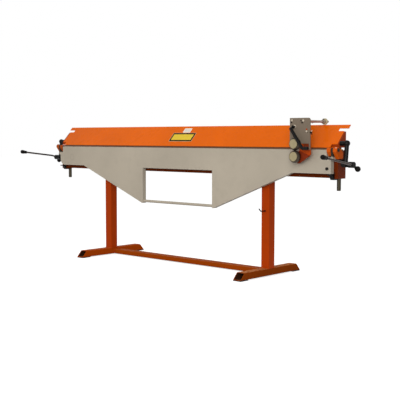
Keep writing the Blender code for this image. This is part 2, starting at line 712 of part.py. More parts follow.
# Bending beam: a tray of sheet, open at the back, with two tapered legs beside the opening
opening = OPENING_WIDTH / 2
span = LEG_SPAN / 2
opening_top = BEND_HEIGHT - OPENING_TOP
right_run = [(opening, opening_top), (opening, leg_bottom), (opening + LEG_TIP_WIDTH, leg_bottom),
             (span, tray_bottom), (tray_half, tray_bottom), (tray_half, shoulder_z),
             (bed_half + FIT_GAP, shoulder_z), (bed_half + FIT_GAP, BEND_HEIGHT)]
corner = (-tray_half + CORNER_RADIUS, tray_bottom + CORNER_RADIUS)
left_run = [(-bed_half - FIT_GAP, BEND_HEIGHT), (-bed_half - FIT_GAP, shoulder_z), (-tray_half, shoulder_z)]
left_run += arc(corner, CORNER_RADIUS, pi, 1.5 * pi)
left_run += [(-span, tray_bottom), (-opening - LEG_TIP_WIDTH, leg_bottom), (-opening, leg_bottom),
             (-opening, opening_top)]
tray_outline = right_run + left_run
bending_beam = prism_y("bending_beam", tray_outline, tray_front, tray_rear, SHEET_GREY, bending_axis)
flange_top = BEND_HEIGHT - EDGE_BAR_HEIGHT - FIT_GAP
pocket = [(x, min(z, flange_top - BENDING_SHEET)) for x, z in inset(tray_outline, BENDING_SHEET)]
cut(bending_beam, prism_y("bending_pocket", pocket, tray_front + BENDING_SHEET, tray_rear + OVERRUN))
cut(bending_beam, box("bending_rebate",
                      (-tray_half - OVERRUN, tray_front + BENDING_SHEET, flange_top),
                      (tray_half + OVERRUN, tray_rear + OVERRUN, BEND_HEIGHT + OVERRUN)))

box("bending_blade", (-bed_half, tray_front + BENDING_SHEET + FIT_GAP, flange_top + FIT_GAP),
    (bed_half, bend_y - FIT_GAP, BEND_HEIGHT), DARK_STEEL, bending_axis)

for side, word in ((-1, "left"), (1, "right")):
    # End plate with the hinge's eye
    neck = bend_y + EAR_NECK
    foot_z = BEND_HEIGHT - EAR_DROP
    outline = [(tray_front, foot_z), (tray_rear, foot_z), (tray_rear, shoulder_z), (neck, shoulder_z)]
    outline += arc((bend_y, BEND_HEIGHT), EAR_RADIUS, 0, pi, 2 * ARC_STEPS)
    outline += [(tray_front, shoulder_z)]
    ear = prism_x(f"hinge_ear_{word}", outline, side * ear_in, side * ear_out, SHEET_GREY, bending_axis)
    bore(ear, (side * (ear_in - OVERRUN), bend_y, BEND_HEIGHT),
         (side * (ear_out + OVERRUN), bend_y, BEND_HEIGHT), HINGE_PIN_RADIUS)

bar_half = opening - FIT_GAP
bar_y = tray_front + HANDLE_BAR_INSET
bar_z = leg_bottom + HANDLE_BAR_RISE
cylinder("handle_bar", (-bar_half, bar_y, bar_z), (bar_half, bar_y, bar_z), HANDLE_BAR_RADIUS,
         SHEET_GREY, bending_axis)

bolt_x = tray_half - STOP_BOLT_INSET
bolt_z = tray_bottom + STOP_BOLT_RISE
bore(bending_beam, (bolt_x, tray_front - OVERRUN, bolt_z),
     (bolt_x, tray_front + BENDING_SHEET + OVERRUN, bolt_z), STOP_BOLT_SHANK)
head_seat = STOP_BOLT_LENGTH + BENDING_SHEET + FIT_GAP
turned("stop_bolt",
       [(0, 0), (STOP_BOLT_SHANK, 0), (STOP_BOLT_SHANK, head_seat), (STOP_BOLT_RADIUS, head_seat),
        (STOP_BOLT_RADIUS, head_seat + STOP_BOLT_HEAD - STOP_BOLT_CHAMFER),
        (STOP_BOLT_RADIUS - STOP_BOLT_CHAMFER, head_seat + STOP_BOLT_HEAD), (0, head_seat + STOP_BOLT_HEAD)],
       (bolt_x, tray_front + BENDING_SHEET + STOP_BOLT_LENGTH, bolt_z), (0, -1, 0), BLACK, bending_axis)

# Clamping beam: a folded box with a sloped front that runs on into a lip, slots in the lip's ends, and
# the lower front corners notched
lip_half = clamp_half + LIP_OVERHANG
outline = [(nose_y, clamp_z), (beam_rear, clamp_z), (beam_rear, slope_z(beam_rear, -CLAMP_SHEET)),
           slope_point(0, -CLAMP_SHEET), slope_point(0, 0)]
clamp_beam = prism_x("clamp_beam", outline, -lip_half, lip_half, ORANGE, clamp_lift)
floor_top = clamp_z + CLAMP_FLOOR
hollow_front = nose_y + (floor_top - slope_z(nose_y, -CLAMP_SHEET)) * SLOPE_RUN / SLOPE_RISE
hollow_rear = beam_rear - CLAMP_SHEET
cut(clamp_beam, prism_x("clamp_hollow",
                        [(hollow_front, floor_top), (hollow_rear, floor_top),
                         (hollow_rear, slope_z(hollow_rear, -CLAMP_SHEET))],
                        -lip_half - OVERRUN, lip_half + OVERRUN))
for side, word in ((-1, "left"), (1, "right")):
    slot_low = -LIP_WIDTH - SLOT_WIDTH
    slot_in = clamp_half - SLOT_DEPTH
    rounded = [(slot_in + SLOT_CORNER - SLOT_CORNER * cos(turn), slot_low + SLOT_CORNER - SLOT_CORNER * sin(turn))
               for turn in (0.5 * pi * i / ARC_STEPS for i in range(ARC_STEPS + 1))]
    flat = [(slot_in, -LIP_WIDTH)] + rounded + [(lip_half + OVERRUN, slot_low), (lip_half + OVERRUN, -LIP_WIDTH)]
    ring = [(side * x, *slope_point(along, OVERRUN)) for x, along in flat]
    depth = -2 * OVERRUN - CLAMP_SHEET
    cut(clamp_beam, extrude(f"lip_slot_{word}", ring, (0, depth * off_slope[0], depth * off_slope[1])))
    below = [slope_point(-LIP_WIDTH, OVERRUN), slope_point(-slope_length - OVERRUN, OVERRUN),
             slope_point(-slope_length - OVERRUN, -slope_length), slope_point(-LIP_WIDTH, -slope_length)]
    cut(clamp_beam, prism_x(f"clamp_end_trim_{word}", below, side * clamp_half, side * (lip_half + OVERRUN)))
    xs = sorted((side * (clamp_half - NOTCH_LENGTH), side * (clamp_half + OVERRUN)))
    cut(clamp_beam, box(f"clamp_notch_{word}", (xs[0], nose_y - OVERRUN, clamp_z - OVERRUN),
                        (xs[1], nose_y + NOTCH_DEPTH, clamp_z + NOTCH_HEIGHT)))

    # End plate with the boss that holds the link pin
    rear_top = clamp_z + END_PLATE_HEIGHT
    front = nose_y + NOTCH_DEPTH
    shoulder = nose_y + END_PLATE_HEIGHT * SLOPE_RUN / SLOPE_RISE
    end_plate = prism_x(f"clamp_end_{word}",
                        [(front, clamp_z), (beam_rear, clamp_z), (beam_rear, rear_top), (shoulder, rear_top),
                         (front, slope_z(front))],
                        side * end_plate_in, side * box_out, ORANGE, clamp_lift)
    boss_front = link_y - BOSS_DEPTH / 2
    boss_rear = link_y + BOSS_DEPTH / 2
    boss_floor = floor_top + FIT_GAP
    boss_cover = -CLAMP_SHEET - BOSS_GAP
    fuse(end_plate, prism_x(f"link_boss_{word}",
                            [(boss_front, boss_floor), (boss_rear, boss_floor),
                             (boss_rear, slope_z(boss_rear, boss_cover)),
                             (boss_front, slope_z(boss_front, boss_cover))],
                            side * (end_plate_in - BOSS_LENGTH), side * (end_plate_in + FUSE_LAP)))
    bore(end_plate, (side * (end_plate_in - BOSS_LENGTH - OVERRUN), link_y, link_z),
         (side * (box_out + OVERRUN), link_y, link_z), LINK_SHANK_RADIUS)

    # Link pin: a thin shank in the boss, a shoulder outside that carries the tie rod's eye
    shank = BOSS_LENGTH + END_PLATE + FIT_GAP
    pin_end = shank + TIE_OFFSET - FIT_GAP + LINK_PIN_END
    turned(f"link_pin_{word}",
           [(0, 0), (LINK_SHANK_RADIUS, 0), (LINK_SHANK_RADIUS, shank), (LINK_PIN_RADIUS, shank),
            (LINK_PIN_RADIUS, pin_end), (0, pin_end)],
           (side * (end_plate_in - BOSS_LENGTH), link_y, link_z), (side, 0, 0), BLACK, clamp_lift)

    # Tie rod: a ball eye on the link pin, a shank, and a slotted strap round the crank pin. The slot is as
    # wide as the crank pin's path beside the rod, because the rod keeps upright.
    path = []
    for step in range(FINE_SIDES + 1):
        turn = CRANK_REST + CRANK_TRAVEL * step / FINE_SIDES
        path.append((CRANK_THROW * (cos(CRANK_REST) - cos(turn)),
                     CRANK_THROW * (sin(turn) - sin(CRANK_REST)) - lift * step / FINE_SIDES))
    corners = [(crank_y + y, crank_z + z) for y in (min(p[0] for p in path), max(p[0] for p in path))
               for z in (min(p[1] for p in path), max(p[1] for p in path))]
    slot_radius = (CRANK_PIN_RADIUS + PIN_PLAY) / cos(pi / SIDES)
    slot_outline = hull([p for c in corners for p in circle(c, slot_radius)])
    strap_outline = hull([p for c in corners for p in circle(c, slot_radius + STRAP_WALL)])
    tie = ball(f"tie_rod_{word}", (side * tie_x, link_y, link_z), EYE_RADIUS, BLACK, clamp_lift)
    strap_top = max(p[1] for p in corners) + slot_radius + FUSE_LAP
    fuse(tie, cylinder(f"tie_shank_{word}", (side * tie_x, link_y, link_z), (side * tie_x, crank_y, strap_top),
                       TIE_RADIUS))
    fuse(tie, prism_x(f"tie_strap_{word}", strap_outline, side * (tie_x - STRAP_WIDTH / 2),
                      side * (tie_x + STRAP_WIDTH / 2)))
    cut(tie, prism_x(f"tie_slot_{word}", slot_outline, side * (tie_x - STRAP_WIDTH),
                     side * (tie_x + STRAP_WIDTH)))
    bore(tie, (side * (tie_x - EYE_RADIUS - OVERRUN), link_y, link_z),
         (side * (tie_x + EYE_RADIUS + OVERRUN), link_y, link_z), LINK_PIN_RADIUS)

    # Guide column, from the clamping beam's floor down through the end box
    cylinder(f"guide_column_{word}", (side * column_x, column_y, clamp_z - FIT_GAP),
             (side * column_x, column_y, box_bottom - COLUMN_TAIL), COLUMN_RADIUS, BRIGHT_STEEL, clamp_lift,
             chamfer=FUSE_LAP)

blade_front = bend_y + NOSE_SETBACK
blade_z = BEND_HEIGHT + FIT_GAP
prism_x("clamp_blade",
        [(blade_front, blade_z), (blade_front + BLADE_DEPTH, blade_z),
         (blade_front + BLADE_DEPTH, blade_z + BLADE_HEIGHT), (blade_front + BLADE_HEIGHT, blade_z + BLADE_HEIGHT)],
        BLADE_INSET - bed_half, bed_half - BLADE_INSET, DARK_STEEL, clamp_lift)


def trim_plate(name, middle, width, low, height, look):
    """A thin plate on the slope."""
    ring = [(x, *slope_point(along - slope_length, FIT_GAP))
            for x, along in ((middle - width / 2, low), (middle + width / 2, low),
                             (middle + width / 2, low + height), (middle - width / 2, low + height))]
    shift = (0, TRIM_PLATE_THICKNESS * off_slope[0], TRIM_PLATE_THICKNESS * off_slope[1])
    return extrude(name, ring, shift, look, clamp_lift)


trim_plate("yellow_plate", -YELLOW_SHIFT, YELLOW_WIDTH, YELLOW_RISE, YELLOW_HEIGHT, YELLOW)
trim_plate("white_plate", -WHITE_SHIFT, WHITE_WIDTH, YELLOW_RISE + YELLOW_HEIGHT + WHITE_GAP,
           WHITE_HEIGHT, WHITE)

# Cranks and levers
for side, word in ((-1, "left"), (1, "right")):
    axis = lever_axes[side]
    hub = Vector((side * hub_x, crank_y, crank_z))
    crank = prism_x(f"crank_{word}",
                    hull(circle((pivot_y, pivot_z), WEB_RADIUS) + circle((crank_y, crank_z), WEB_PIN_RADIUS)),
                    side * web_in, side * web_out, BLACK, axis)
    fuse(crank, cylinder(f"crank_shaft_{word}", (side * (box_out - SHAFT_LENGTH), pivot_y, pivot_z),
                         (side * (web_in + FUSE_LAP), pivot_y, pivot_z), SHAFT_RADIUS))
    fuse(crank, cylinder(f"crank_pin_{word}", (side * (web_out - FUSE_LAP), crank_y, crank_z),
                         (side * (hub_in + FUSE_LAP), crank_y, crank_z), CRANK_PIN_RADIUS))
    fuse(crank, turned(f"crank_hub_{word}",
                       [(0, 0), (HUB_RADIUS - HUB_CHAMFER, 0), (HUB_RADIUS, HUB_CHAMFER),
                        (HUB_RADIUS, HUB_LENGTH - HUB_CHAMFER), (HUB_RADIUS - HUB_CHAMFER, HUB_LENGTH),
                        (0, HUB_LENGTH)],
                       (side * hub_in, crank_y, crank_z), (side, 0, 0)))

    # Lever rod: out of the hub's socket, one bend, then straight forward into the grip
    elbow = hub + Vector((side * LEVER_OUT, -LEVER_FORWARD, LEVER_UP))
    tip = Vector((elbow.x, post_y - GRIP_REACH, crank_z + GRIP_RISE))
    first_run = (elbow - hub).normalized()
    last_run = (tip - elbow).normalized()
    bore(crank, hub + first_run * SOCKET_FLOOR, elbow, LEVER_RADIUS)
    grip_foot = tip - last_run * GRIP_LENGTH
    rod_end = tip - last_run * (GRIP_END + FIT_GAP)
    bent_bar(f"lever_rod_{word}", [hub + first_run * (SOCKET_FLOOR + FIT_GAP), elbow, rod_end],
             LEVER_RADIUS, LEVER_BEND, BRIGHT_STEEL, axis)
    rounding = [(GRIP_RADIUS - GRIP_ROUND + GRIP_ROUND * cos(turn), GRIP_ROUND * sin(turn))
                for turn in (0.5 * pi * i / GRIP_STEPS for i in range(GRIP_STEPS + 1))]
    grip = turned(f"lever_grip_{word}",
                  [(0, 0)] + [(r, GRIP_ROUND - a) for r, a in rounding[::-1]]
                  + [(r, GRIP_LENGTH - GRIP_ROUND + a) for r, a in rounding] + [(0, GRIP_LENGTH)],
                  grip_foot, last_run, BLACK, axis)
    bore(grip, grip_foot - last_run * OVERRUN, tip - last_run * GRIP_END, LEVER_RADIUS)

    # Ball knob on a neck, in a second socket of the hub
    knob = hub + Vector((side * KNOB_OUT, KNOB_BACK, -KNOB_DOWN))
    knob_run = (knob - hub).normalized()
    bore(crank, hub + knob_run * SOCKET_FLOOR, knob, KNOB_NECK)
    round_knob = ball(f"lever_knob_{word}", knob, KNOB_RADIUS, BLACK, axis)
    fuse(round_knob, cylinder(f"knob_neck_{word}", hub + knob_run * (SOCKET_FLOOR + FIT_GAP), knob, KNOB_NECK))

# Roller cutter: shoe that hooks round the lip, and carries the cross tube in its ear
ear_along = CROSS_SETBACK * up_slope[0] + (arm_z - lip_z) * up_slope[1]
ear_out_of = CROSS_SETBACK * off_slope[0] + (arm_z - lip_z) * off_slope[1]
outer_face = FIT_GAP + SHOE_LIP
inner_face = -CLAMP_SHEET - FIT_GAP - SHOE_LIP
shoe_flat = [(-SHOE_GRIP, outer_face), (-SHOE_GRIP, FIT_GAP), (FIT_GAP, FIT_GAP),
             (FIT_GAP, -CLAMP_SHEET - FIT_GAP), (-SHOE_GRIP, -CLAMP_SHEET - FIT_GAP), (-SHOE_GRIP, inner_face),
             (SHOE_NECK, inner_face)]
shoe_flat += arc((ear_along, ear_out_of), SHOE_EAR_RADIUS, -0.5 * pi, 0.5 * pi, 2 * ARC_STEPS)
shoe_flat += [(SHOE_NECK, outer_face)]
rail_shoe = prism_x("rail_shoe", [slope_point(along, out) for along, out in shoe_flat],
                    shoe_x - SHOE_WIDTH / 2, shoe_x + SHOE_WIDTH / 2, DARK_STEEL, shoe_slide)
bore(rail_shoe, (shoe_x - SHOE_WIDTH, cross_y, arm_z), (shoe_x + SHOE_WIDTH, cross_y, arm_z),
     CROSS_TUBE_RADIUS)

# Two long arms joined by the cross tube, behind the plate
cutter_arms = cylinder("cutter_arms", (shoe_x - SHOE_WIDTH / 2 - CROSS_TUBE_TAIL, cross_y, arm_z),
                       (right_arm_x + ARM_RADIUS + CROSS_TUBE_TAIL, cross_y, arm_z), CROSS_TUBE_RADIUS,
                       BRIGHT_STEEL, cutter_swing)
for name, x in (("left", left_arm_x), ("right", right_arm_x)):
    fuse(cutter_arms, cylinder(f"cutter_arm_{name}", (x, arm_front, arm_z), (x, cross_y, arm_z), ARM_RADIUS))

# Plate with one rounded corner, a tongue behind the upper knife and a strip down its right side
corner = (plate_right - PLATE_CORNER, plate_top - PLATE_CORNER)
tongue = arc((knife_x, upper_knife_z), TONGUE_RADIUS, pi, 2 * pi, 2 * ARC_STEPS)
plate_outline = [(plate_left, plate_bottom), (knife_x - TONGUE_RADIUS, plate_bottom)] + tongue
strip_foot = plate_bottom - PLATE_STRIP_DROP
plate_outline += [(knife_x + TONGUE_RADIUS, plate_bottom), (plate_right - PLATE_STRIP, plate_bottom),
                  (plate_right - PLATE_STRIP, strip_foot), (plate_right, strip_foot)]
plate_outline += arc(corner, PLATE_CORNER, 0, 0.5 * pi) + [(plate_left, plate_top)]
prism_y("cutter_plate", plate_outline, plate_front, plate_rear, PLATE_GREY, cutter_swing)

bracket_foot = BEND_HEIGHT - BRACKET_DROP
knife_bracket = prism_y("knife_bracket",
                        [(knife_x + along * BRACKET_WIDTH, bracket_foot + up * BRACKET_HEIGHT)
                         for along, up in BRACKET_SHARES],
                        bracket_front, bracket_rear, ORANGE, cutter_swing)
fuse(knife_bracket, cylinder("knife_bracket_hub", (knife_x, bracket_front, lower_knife_z),
                             (knife_x, bracket_rear, lower_knife_z), BRACKET_HUB))

push_y = plate_front - PUSH_LEAD
bent_bar("push_handle",
         [(CUTTER_POSITION - PUSH_TOP_OFFSET, plate_front - FIT_GAP, BEND_HEIGHT + PUSH_TOP_RISE),
          (CUTTER_POSITION - PUSH_TOP_OFFSET, push_y, BEND_HEIGHT + PUSH_TOP_RISE),
          (CUTTER_POSITION + PUSH_LOW_OFFSET, push_y, BEND_HEIGHT + PUSH_LOW_RISE),
          (CUTTER_POSITION + PUSH_END_OFFSET, push_y, BEND_HEIGHT + PUSH_LOW_RISE)],
         PUSH_RADIUS, PUSH_BEND, BLACK, cutter_swing)


def knife(name, z, carrier, hub_depth):
    """A round knife with a bevelled front edge, its hub behind, and its pale cap in front."""
    rim = [(KNIFE_RADIUS, 0), (KNIFE_RADIUS, KNIFE_DEPTH - KNIFE_BEVEL_DEPTH),
           (KNIFE_RADIUS - KNIFE_BEVEL, KNIFE_DEPTH), (0, KNIFE_DEPTH)]
    hub_profile = [(0, -hub_depth), (KNIFE_HUB_RADIUS, -hub_depth), (KNIFE_HUB_RADIUS, 0)]
    profile = hub_profile + rim if hub_depth else [(0, 0)] + rim
    turned(name, profile, (knife_x, knife_rear, z), (0, -1, 0), DARK_STEEL, carrier, FINE_SIDES)
    turned(f"{name}_cap",
           [(0, 0), (CAP_RADIUS, 0), (CAP_RADIUS, CAP_THICKNESS - CAP_CHAMFER),
            (CAP_RADIUS - CAP_CHAMFER, CAP_THICKNESS), (0, CAP_THICKNESS)],
           (knife_x, knife_front - FIT_GAP, z), (0, -1, 0), CREAM, carrier, FINE_SIDES)


knife("upper_knife", upper_knife_z, upper_spin, 0)
knife("lower_knife", lower_knife_z, lower_spin, PLATE_THICKNESS + FIT_GAP)

# Wheel that runs on the lip's edge
wheel_bore = (ARM_RADIUS + FIT_GAP) / cos(pi / FINE_SIDES)
turned("rail_wheel",
       [(wheel_bore, 0), (WHEEL_RADIUS - WHEEL_CHAMFER, 0), (WHEEL_RADIUS, WHEEL_CHAMFER),
        (WHEEL_RADIUS, WHEEL_WIDTH - WHEEL_CHAMFER), (WHEEL_RADIUS - WHEEL_CHAMFER, WHEEL_WIDTH),
        (wheel_bore, WHEEL_WIDTH)],
       (right_arm_x, lip_y + WHEEL_WIDTH / 2, arm_z), (0, -1, 0), CREAM, wheel_spin, FINE_SIDES)
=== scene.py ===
"""A sheet metal brake on its floor stand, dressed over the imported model.

Tubes, rods, turned parts, nuts and weld beads are surfaces worked out with numpy. The folded sheets and
machined plates are copies of the CAD nodes with rounded edges. Every finish is drawn with nodes.
Lengths are in metres, except where mm() or a note says millimetres.
"""

import bmesh
import bpy
import numpy as np
from mathutils import Matrix, Vector


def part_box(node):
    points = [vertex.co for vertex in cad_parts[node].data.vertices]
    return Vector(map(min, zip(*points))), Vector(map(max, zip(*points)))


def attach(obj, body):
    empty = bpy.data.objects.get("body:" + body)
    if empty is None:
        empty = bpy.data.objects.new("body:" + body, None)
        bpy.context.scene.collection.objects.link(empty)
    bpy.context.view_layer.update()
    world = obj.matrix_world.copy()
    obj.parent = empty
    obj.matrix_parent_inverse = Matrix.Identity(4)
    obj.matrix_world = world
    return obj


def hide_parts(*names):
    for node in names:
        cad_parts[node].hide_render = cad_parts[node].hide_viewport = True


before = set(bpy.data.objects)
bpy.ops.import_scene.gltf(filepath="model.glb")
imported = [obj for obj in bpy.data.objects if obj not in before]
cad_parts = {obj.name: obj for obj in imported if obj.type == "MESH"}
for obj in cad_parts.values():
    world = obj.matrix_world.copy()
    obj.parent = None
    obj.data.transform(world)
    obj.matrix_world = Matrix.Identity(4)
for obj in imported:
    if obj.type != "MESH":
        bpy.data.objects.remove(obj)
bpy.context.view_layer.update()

MM = 0.001
SIDES = 48
SIDE_WORDS = ((-1, "left"), (1, "right"))
RIGHT, BACK, UP, FRONT = (1, 0, 0), (0, 1, 0), (0, 0, 1), (0, -1, 0)
SHARP_FROM = np.radians(38)


# ---- shapes

def mm(points):
    """Points given in millimetres, as points in metres."""
    return np.multiply(points, MM)


def unit(rows):
    """Each row divided by its own length."""
    rows = np.asarray(rows, float)
    return rows / np.linalg.norm(rows, axis=-1, keepdims=True)


def soften(points, radius, steps=6, closed=False):
    """A line of points with round corners. At each corner the arc touches both sides: it starts and ends
    radius / tan(half the corner's angle) from the corner, held down to half of the shorter side, and runs
    round the centre on the corner's bisector. The points on it come from a spherical mean of its ends."""
    p = np.asarray(points, float)
    back, on = np.roll(p, 1, 0) - p, np.roll(p, -1, 0) - p
    reach_most = 0.499 * np.minimum(np.linalg.norm(back, axis=1), np.linalg.norm(on, axis=1))
    back, on = unit(back), unit(on)
    half = 0.5 * np.arccos(np.clip((back * on).sum(1), -1.0, 0.9999))
    half = np.minimum(half, 0.5 * np.pi - 1e-4)
    reach = np.minimum(np.broadcast_to(radius, len(p)) / np.tan(half), reach_most)
    size = reach * np.tan(half)
    centre = p + unit(back + on) * (size / np.sin(half))[:, None]
    start, stop = p + back * reach[:, None] - centre, p + on * reach[:, None] - centre
    sweep = (np.pi - 2 * half)[:, None, None]
    share = np.linspace(0, 1, steps + 1)[None, :, None]
    arcs = centre[:, None] + (np.sin((1 - share) * sweep) * start[:, None]
                              + np.sin(share * sweep) * stop[:, None]) / np.sin(sweep)
    if closed:
        return arcs.reshape(-1, p.shape[1])
    return np.concatenate([p[:1], arcs[1:-1].reshape(-1, p.shape[1]), p[-1:]])


def quads(rows, columns, round_rows=False):
    """The faces of a grid whose columns run round, and whose rows may run round too."""
    r, c = np.meshgrid(np.arange(rows if round_rows else rows - 1), np.arange(columns), indexing="ij")
    down, along = (r + 1) % rows, (c + 1) % columns
    return np.stack([r * columns + c, r * columns + along, down * columns + along, down * columns + c],
                    -1).reshape(-1, 4)


def shell(rings, caps=True, round_rows=False, across=None):
    """Rings of points, row by row, joined by quads, and closed by a face at each end. across gives the
    chart of the surface: length round the ring and length along the rows, in metres."""
    rings = np.asarray(rings, float)
    rows, columns = rings.shape[:2]
    faces = quads(rows, columns, round_rows).tolist()
    if caps:
        faces += [list(range(columns))[::-1], list(range((rows - 1) * columns, rows * columns))]
    run = np.linalg.norm(np.diff(rings, axis=0), axis=2).max(1)
    along = np.concatenate([[0.0], np.cumsum(run)])
    if across is None:
        across = np.linalg.norm(np.roll(rings, -1, 1) - rings, axis=2).sum(1).max()
    chart = np.stack(np.meshgrid(along, np.arange(columns) / columns * across, indexing="ij"), -1)
    return rings.reshape(-1, 3), faces, chart.reshape(-1, 2)


def round_about(axis):
    """Two directions square to an axis and to each other."""
    axis = unit(axis)
    helper = np.eye(3)[np.argmin(np.abs(axis))]
    first = unit(np.cross(axis, helper))
    return first, np.cross(axis, first)


def turned(profile, foot, axis, sides=SIDES, flats=None, turn=0.0):
    """A profile of (radius, distance) points carried round an axis: foot + distance * axis + radius *
    (cos t * first + sin t * second). Where flats is 1 the radius is that of a hexagon with the same
    corners: radius * cos 30 / cos(t within its sixth - 30)."""
    profile = np.asarray(profile, float)
    first, second = round_about(axis)
    t = np.linspace(0, 2 * np.pi, sides, endpoint=False)
    flats = np.zeros(len(profile)) if flats is None else np.asarray(flats, float)
    hexagon = np.cos(np.pi / 6) / np.cos(np.mod(t, np.pi / 3) - np.pi / 6)
    radius = profile[:, :1] * (1 + flats[:, None] * (hexagon[None] - 1))
    spoke = np.cos(t + turn)[:, None] * first + np.sin(t + turn)[:, None] * second
    rings = (np.asarray(foot, float) + profile[:, 1, None, None] * unit(axis)
             + radius[:, :, None] * spoke[None])
    return shell(rings, caps=False)


def bar(path, radius, sides=SIDES, chamfer=0.0, upright=UP, swell=None):
    """A round bar: a circle carried along a path, kept square to it, with chamfered flat ends. swell
    scales the radius along the path."""
    path = np.asarray(path, float)
    run = unit(np.gradient(path, axis=0))
    run[0], run[-1] = unit(path[1] - path[0]), unit(path[-1] - path[-2])
    size = np.full(len(path), radius) * (1.0 if swell is None else swell)
    if chamfer:
        path = np.concatenate([path[:1], path[:1] + run[:1] * chamfer, path[1:-1],
                               path[-1:] - run[-1:] * chamfer, path[-1:]])
        run = np.concatenate([run[:1], run, run[-1:]])
        size = np.concatenate([[size[0] - chamfer], size, [size[-1] - chamfer]])
    side = unit(np.cross(run, upright))
    over = np.cross(side, run)
    t = np.linspace(0, 2 * np.pi, sides, endpoint=False)
    rings = path[:, None] + size[:, None, None] * (np.cos(t)[None, :, None] * side[:, None]
                                                   + np.sin(t)[None, :, None] * over[:, None])
    return shell(rings, across=2 * np.pi * radius)


def slab(outline, low, high, place, edge, steps=3):
    """A plate: an outline of two-part points, with its edges rounded by edge, between two depths. place
    turns (first, depth, second) columns into points. Each ring is the outline moved inwards along its
    corners' bisectors by edge * (1 - cos s), at a depth of edge * (1 - sin s)."""
    outline = np.asarray(outline, float)
    back, on = unit(outline - np.roll(outline, 1, 0)), unit(np.roll(outline, -1, 0) - outline)
    inward = np.stack([-(back + on)[:, 1], (back + on)[:, 0]], 1)
    inward = inward / (1 + (back * on).sum(1))[:, None]
    s = np.linspace(0, 0.5 * np.pi, steps + 1)
    sink = np.concatenate([edge * (1 - np.sin(s)), edge * (1 - np.sin(s[::-1]))])
    depth = np.concatenate([low + edge * (1 - np.cos(s)), high - edge * (1 - np.cos(s[::-1]))])
    flat = outline[None] + inward[None] * sink[:, None, None]
    depth = np.broadcast_to(depth[:, None], flat.shape[:2])
    return shell(place(flat[..., 0], depth, flat[..., 1]))


def laid(*order):
    """A function that stacks an outline's first column, its depths and its second column (columns 0, 1
    and 2) in an order, as X, Y and Z."""
    return lambda *columns: np.stack([columns[k] for k in order], -1)


along_x, along_y, along_z = laid(1, 0, 2), laid(0, 1, 2), laid(0, 2, 1)


def belt(first, first_radius, second, second_radius, steps=24):
    """The outline drawn tight round two circles: an arc of each, between the two lines that touch both."""
    first, second = np.asarray(first, float), np.asarray(second, float)
    run = second - first
    lie = np.arctan2(run[1], run[0])
    open_by = np.arccos((first_radius - second_radius) / np.hypot(*run))
    one = np.linspace(lie + open_by, lie + 2 * np.pi - open_by, steps)
    two = np.linspace(lie - open_by, lie + open_by, steps)
    return np.concatenate([first + first_radius * np.stack([np.cos(one), np.sin(one)], 1),
                           second + second_radius * np.stack([np.cos(two), np.sin(two)], 1)])


def rectangle(low, high):
    """The four corners of a rectangle, against the clock."""
    return np.array([(low[0], low[1]), (high[0], low[1]), (high[0], high[1]), (low[0], high[1])])


def joined(points):
    """A closed line: the points, and the first of them again."""
    return np.concatenate([points, points[:1]])


def circle(centre, radius, first, second, count):
    """A closed line round a centre: centre + radius * (cos t * first + sin t * second)."""
    t = np.linspace(0, 2 * np.pi, count)[:, None]
    return np.add(centre, radius * (np.cos(t) * first + np.sin(t) * second))


def hollow(outer, inner, low, high, place, lip=0.6 * MM):
    """A tube with a wall: the outer outline carried from the low end to the high end, over a small rounded
    lip, and back inside along the inner outline. low and high may change from point to point, which cuts
    the ends at a slant."""
    outer, inner = np.asarray(outer, float), np.asarray(inner, float)
    near = outer + (inner - outer) * 0.175
    far = inner + (outer - inner) * 0.175
    low = np.broadcast_to(low, len(outer))
    high = np.broadcast_to(high, len(outer))
    rows = [(outer, low + lip), (outer, high - lip), (near, high), (far, high), (inner, high - lip),
            (inner, low + lip), (far, low), (near, low)]
    flat, depth = (np.array(part) for part in zip(*rows))
    return shell(place(flat[..., 0], depth, flat[..., 1]), caps=False, round_rows=True)


def box_tube(low, high, wall, place, ends, corner=6 * MM):
    """A square tube between two corners of its section, with rounded corners outside and inside."""
    outer = soften(rectangle(low, high), corner, closed=True)
    inner = soften(rectangle(np.add(low, wall), np.subtract(high, wall)), max(corner - wall, 1.5 * MM),
                   closed=True)
    start, stop = ends(outer) if callable(ends) else ends
    return hollow(outer, inner, start, stop, place)


def bead(path, size=2.6 * MM, pitch=3.2 * MM):
    """A weld bead: a bar along a path whose radius rises and falls once in each pitch as the size times
    0.84 + 0.16 * |cos(pi * length / pitch)|, with a slow waver on top. The seam lies in a plane square to the
    axis along which it reaches least."""
    path = np.asarray(path, float)
    length = np.concatenate([[0], np.cumsum(np.linalg.norm(np.diff(path, axis=0), axis=1))])
    fine = np.linspace(0, length[-1], max(int(length[-1] / pitch * 4), 8))
    path = np.stack([np.interp(fine, length, path[:, k]) for k in range(3)], 1)
    ripple = 0.84 + 0.16 * np.abs(np.cos(np.pi * fine / pitch)) + 0.07 * np.sin(fine * 310 + 5 * path[0, 0])
    ends = np.minimum(1, np.minimum(fine, length[-1] - fine) / (0.8 * size) + 0.25)
    upright = np.eye(3)[np.argmin(np.ptp(path, axis=0))]
    return bar(path, size, sides=10, upright=upright, swell=ripple * ends)


def ball(centre, radius, axis=UP, rows=24):
    """A ball: radius * (sin s, -cos s) carried round its axis."""
    s = np.linspace(0, np.pi, rows + 1)
    return turned(np.stack([radius * np.sin(s), -radius * np.cos(s)], 1), centre, axis)


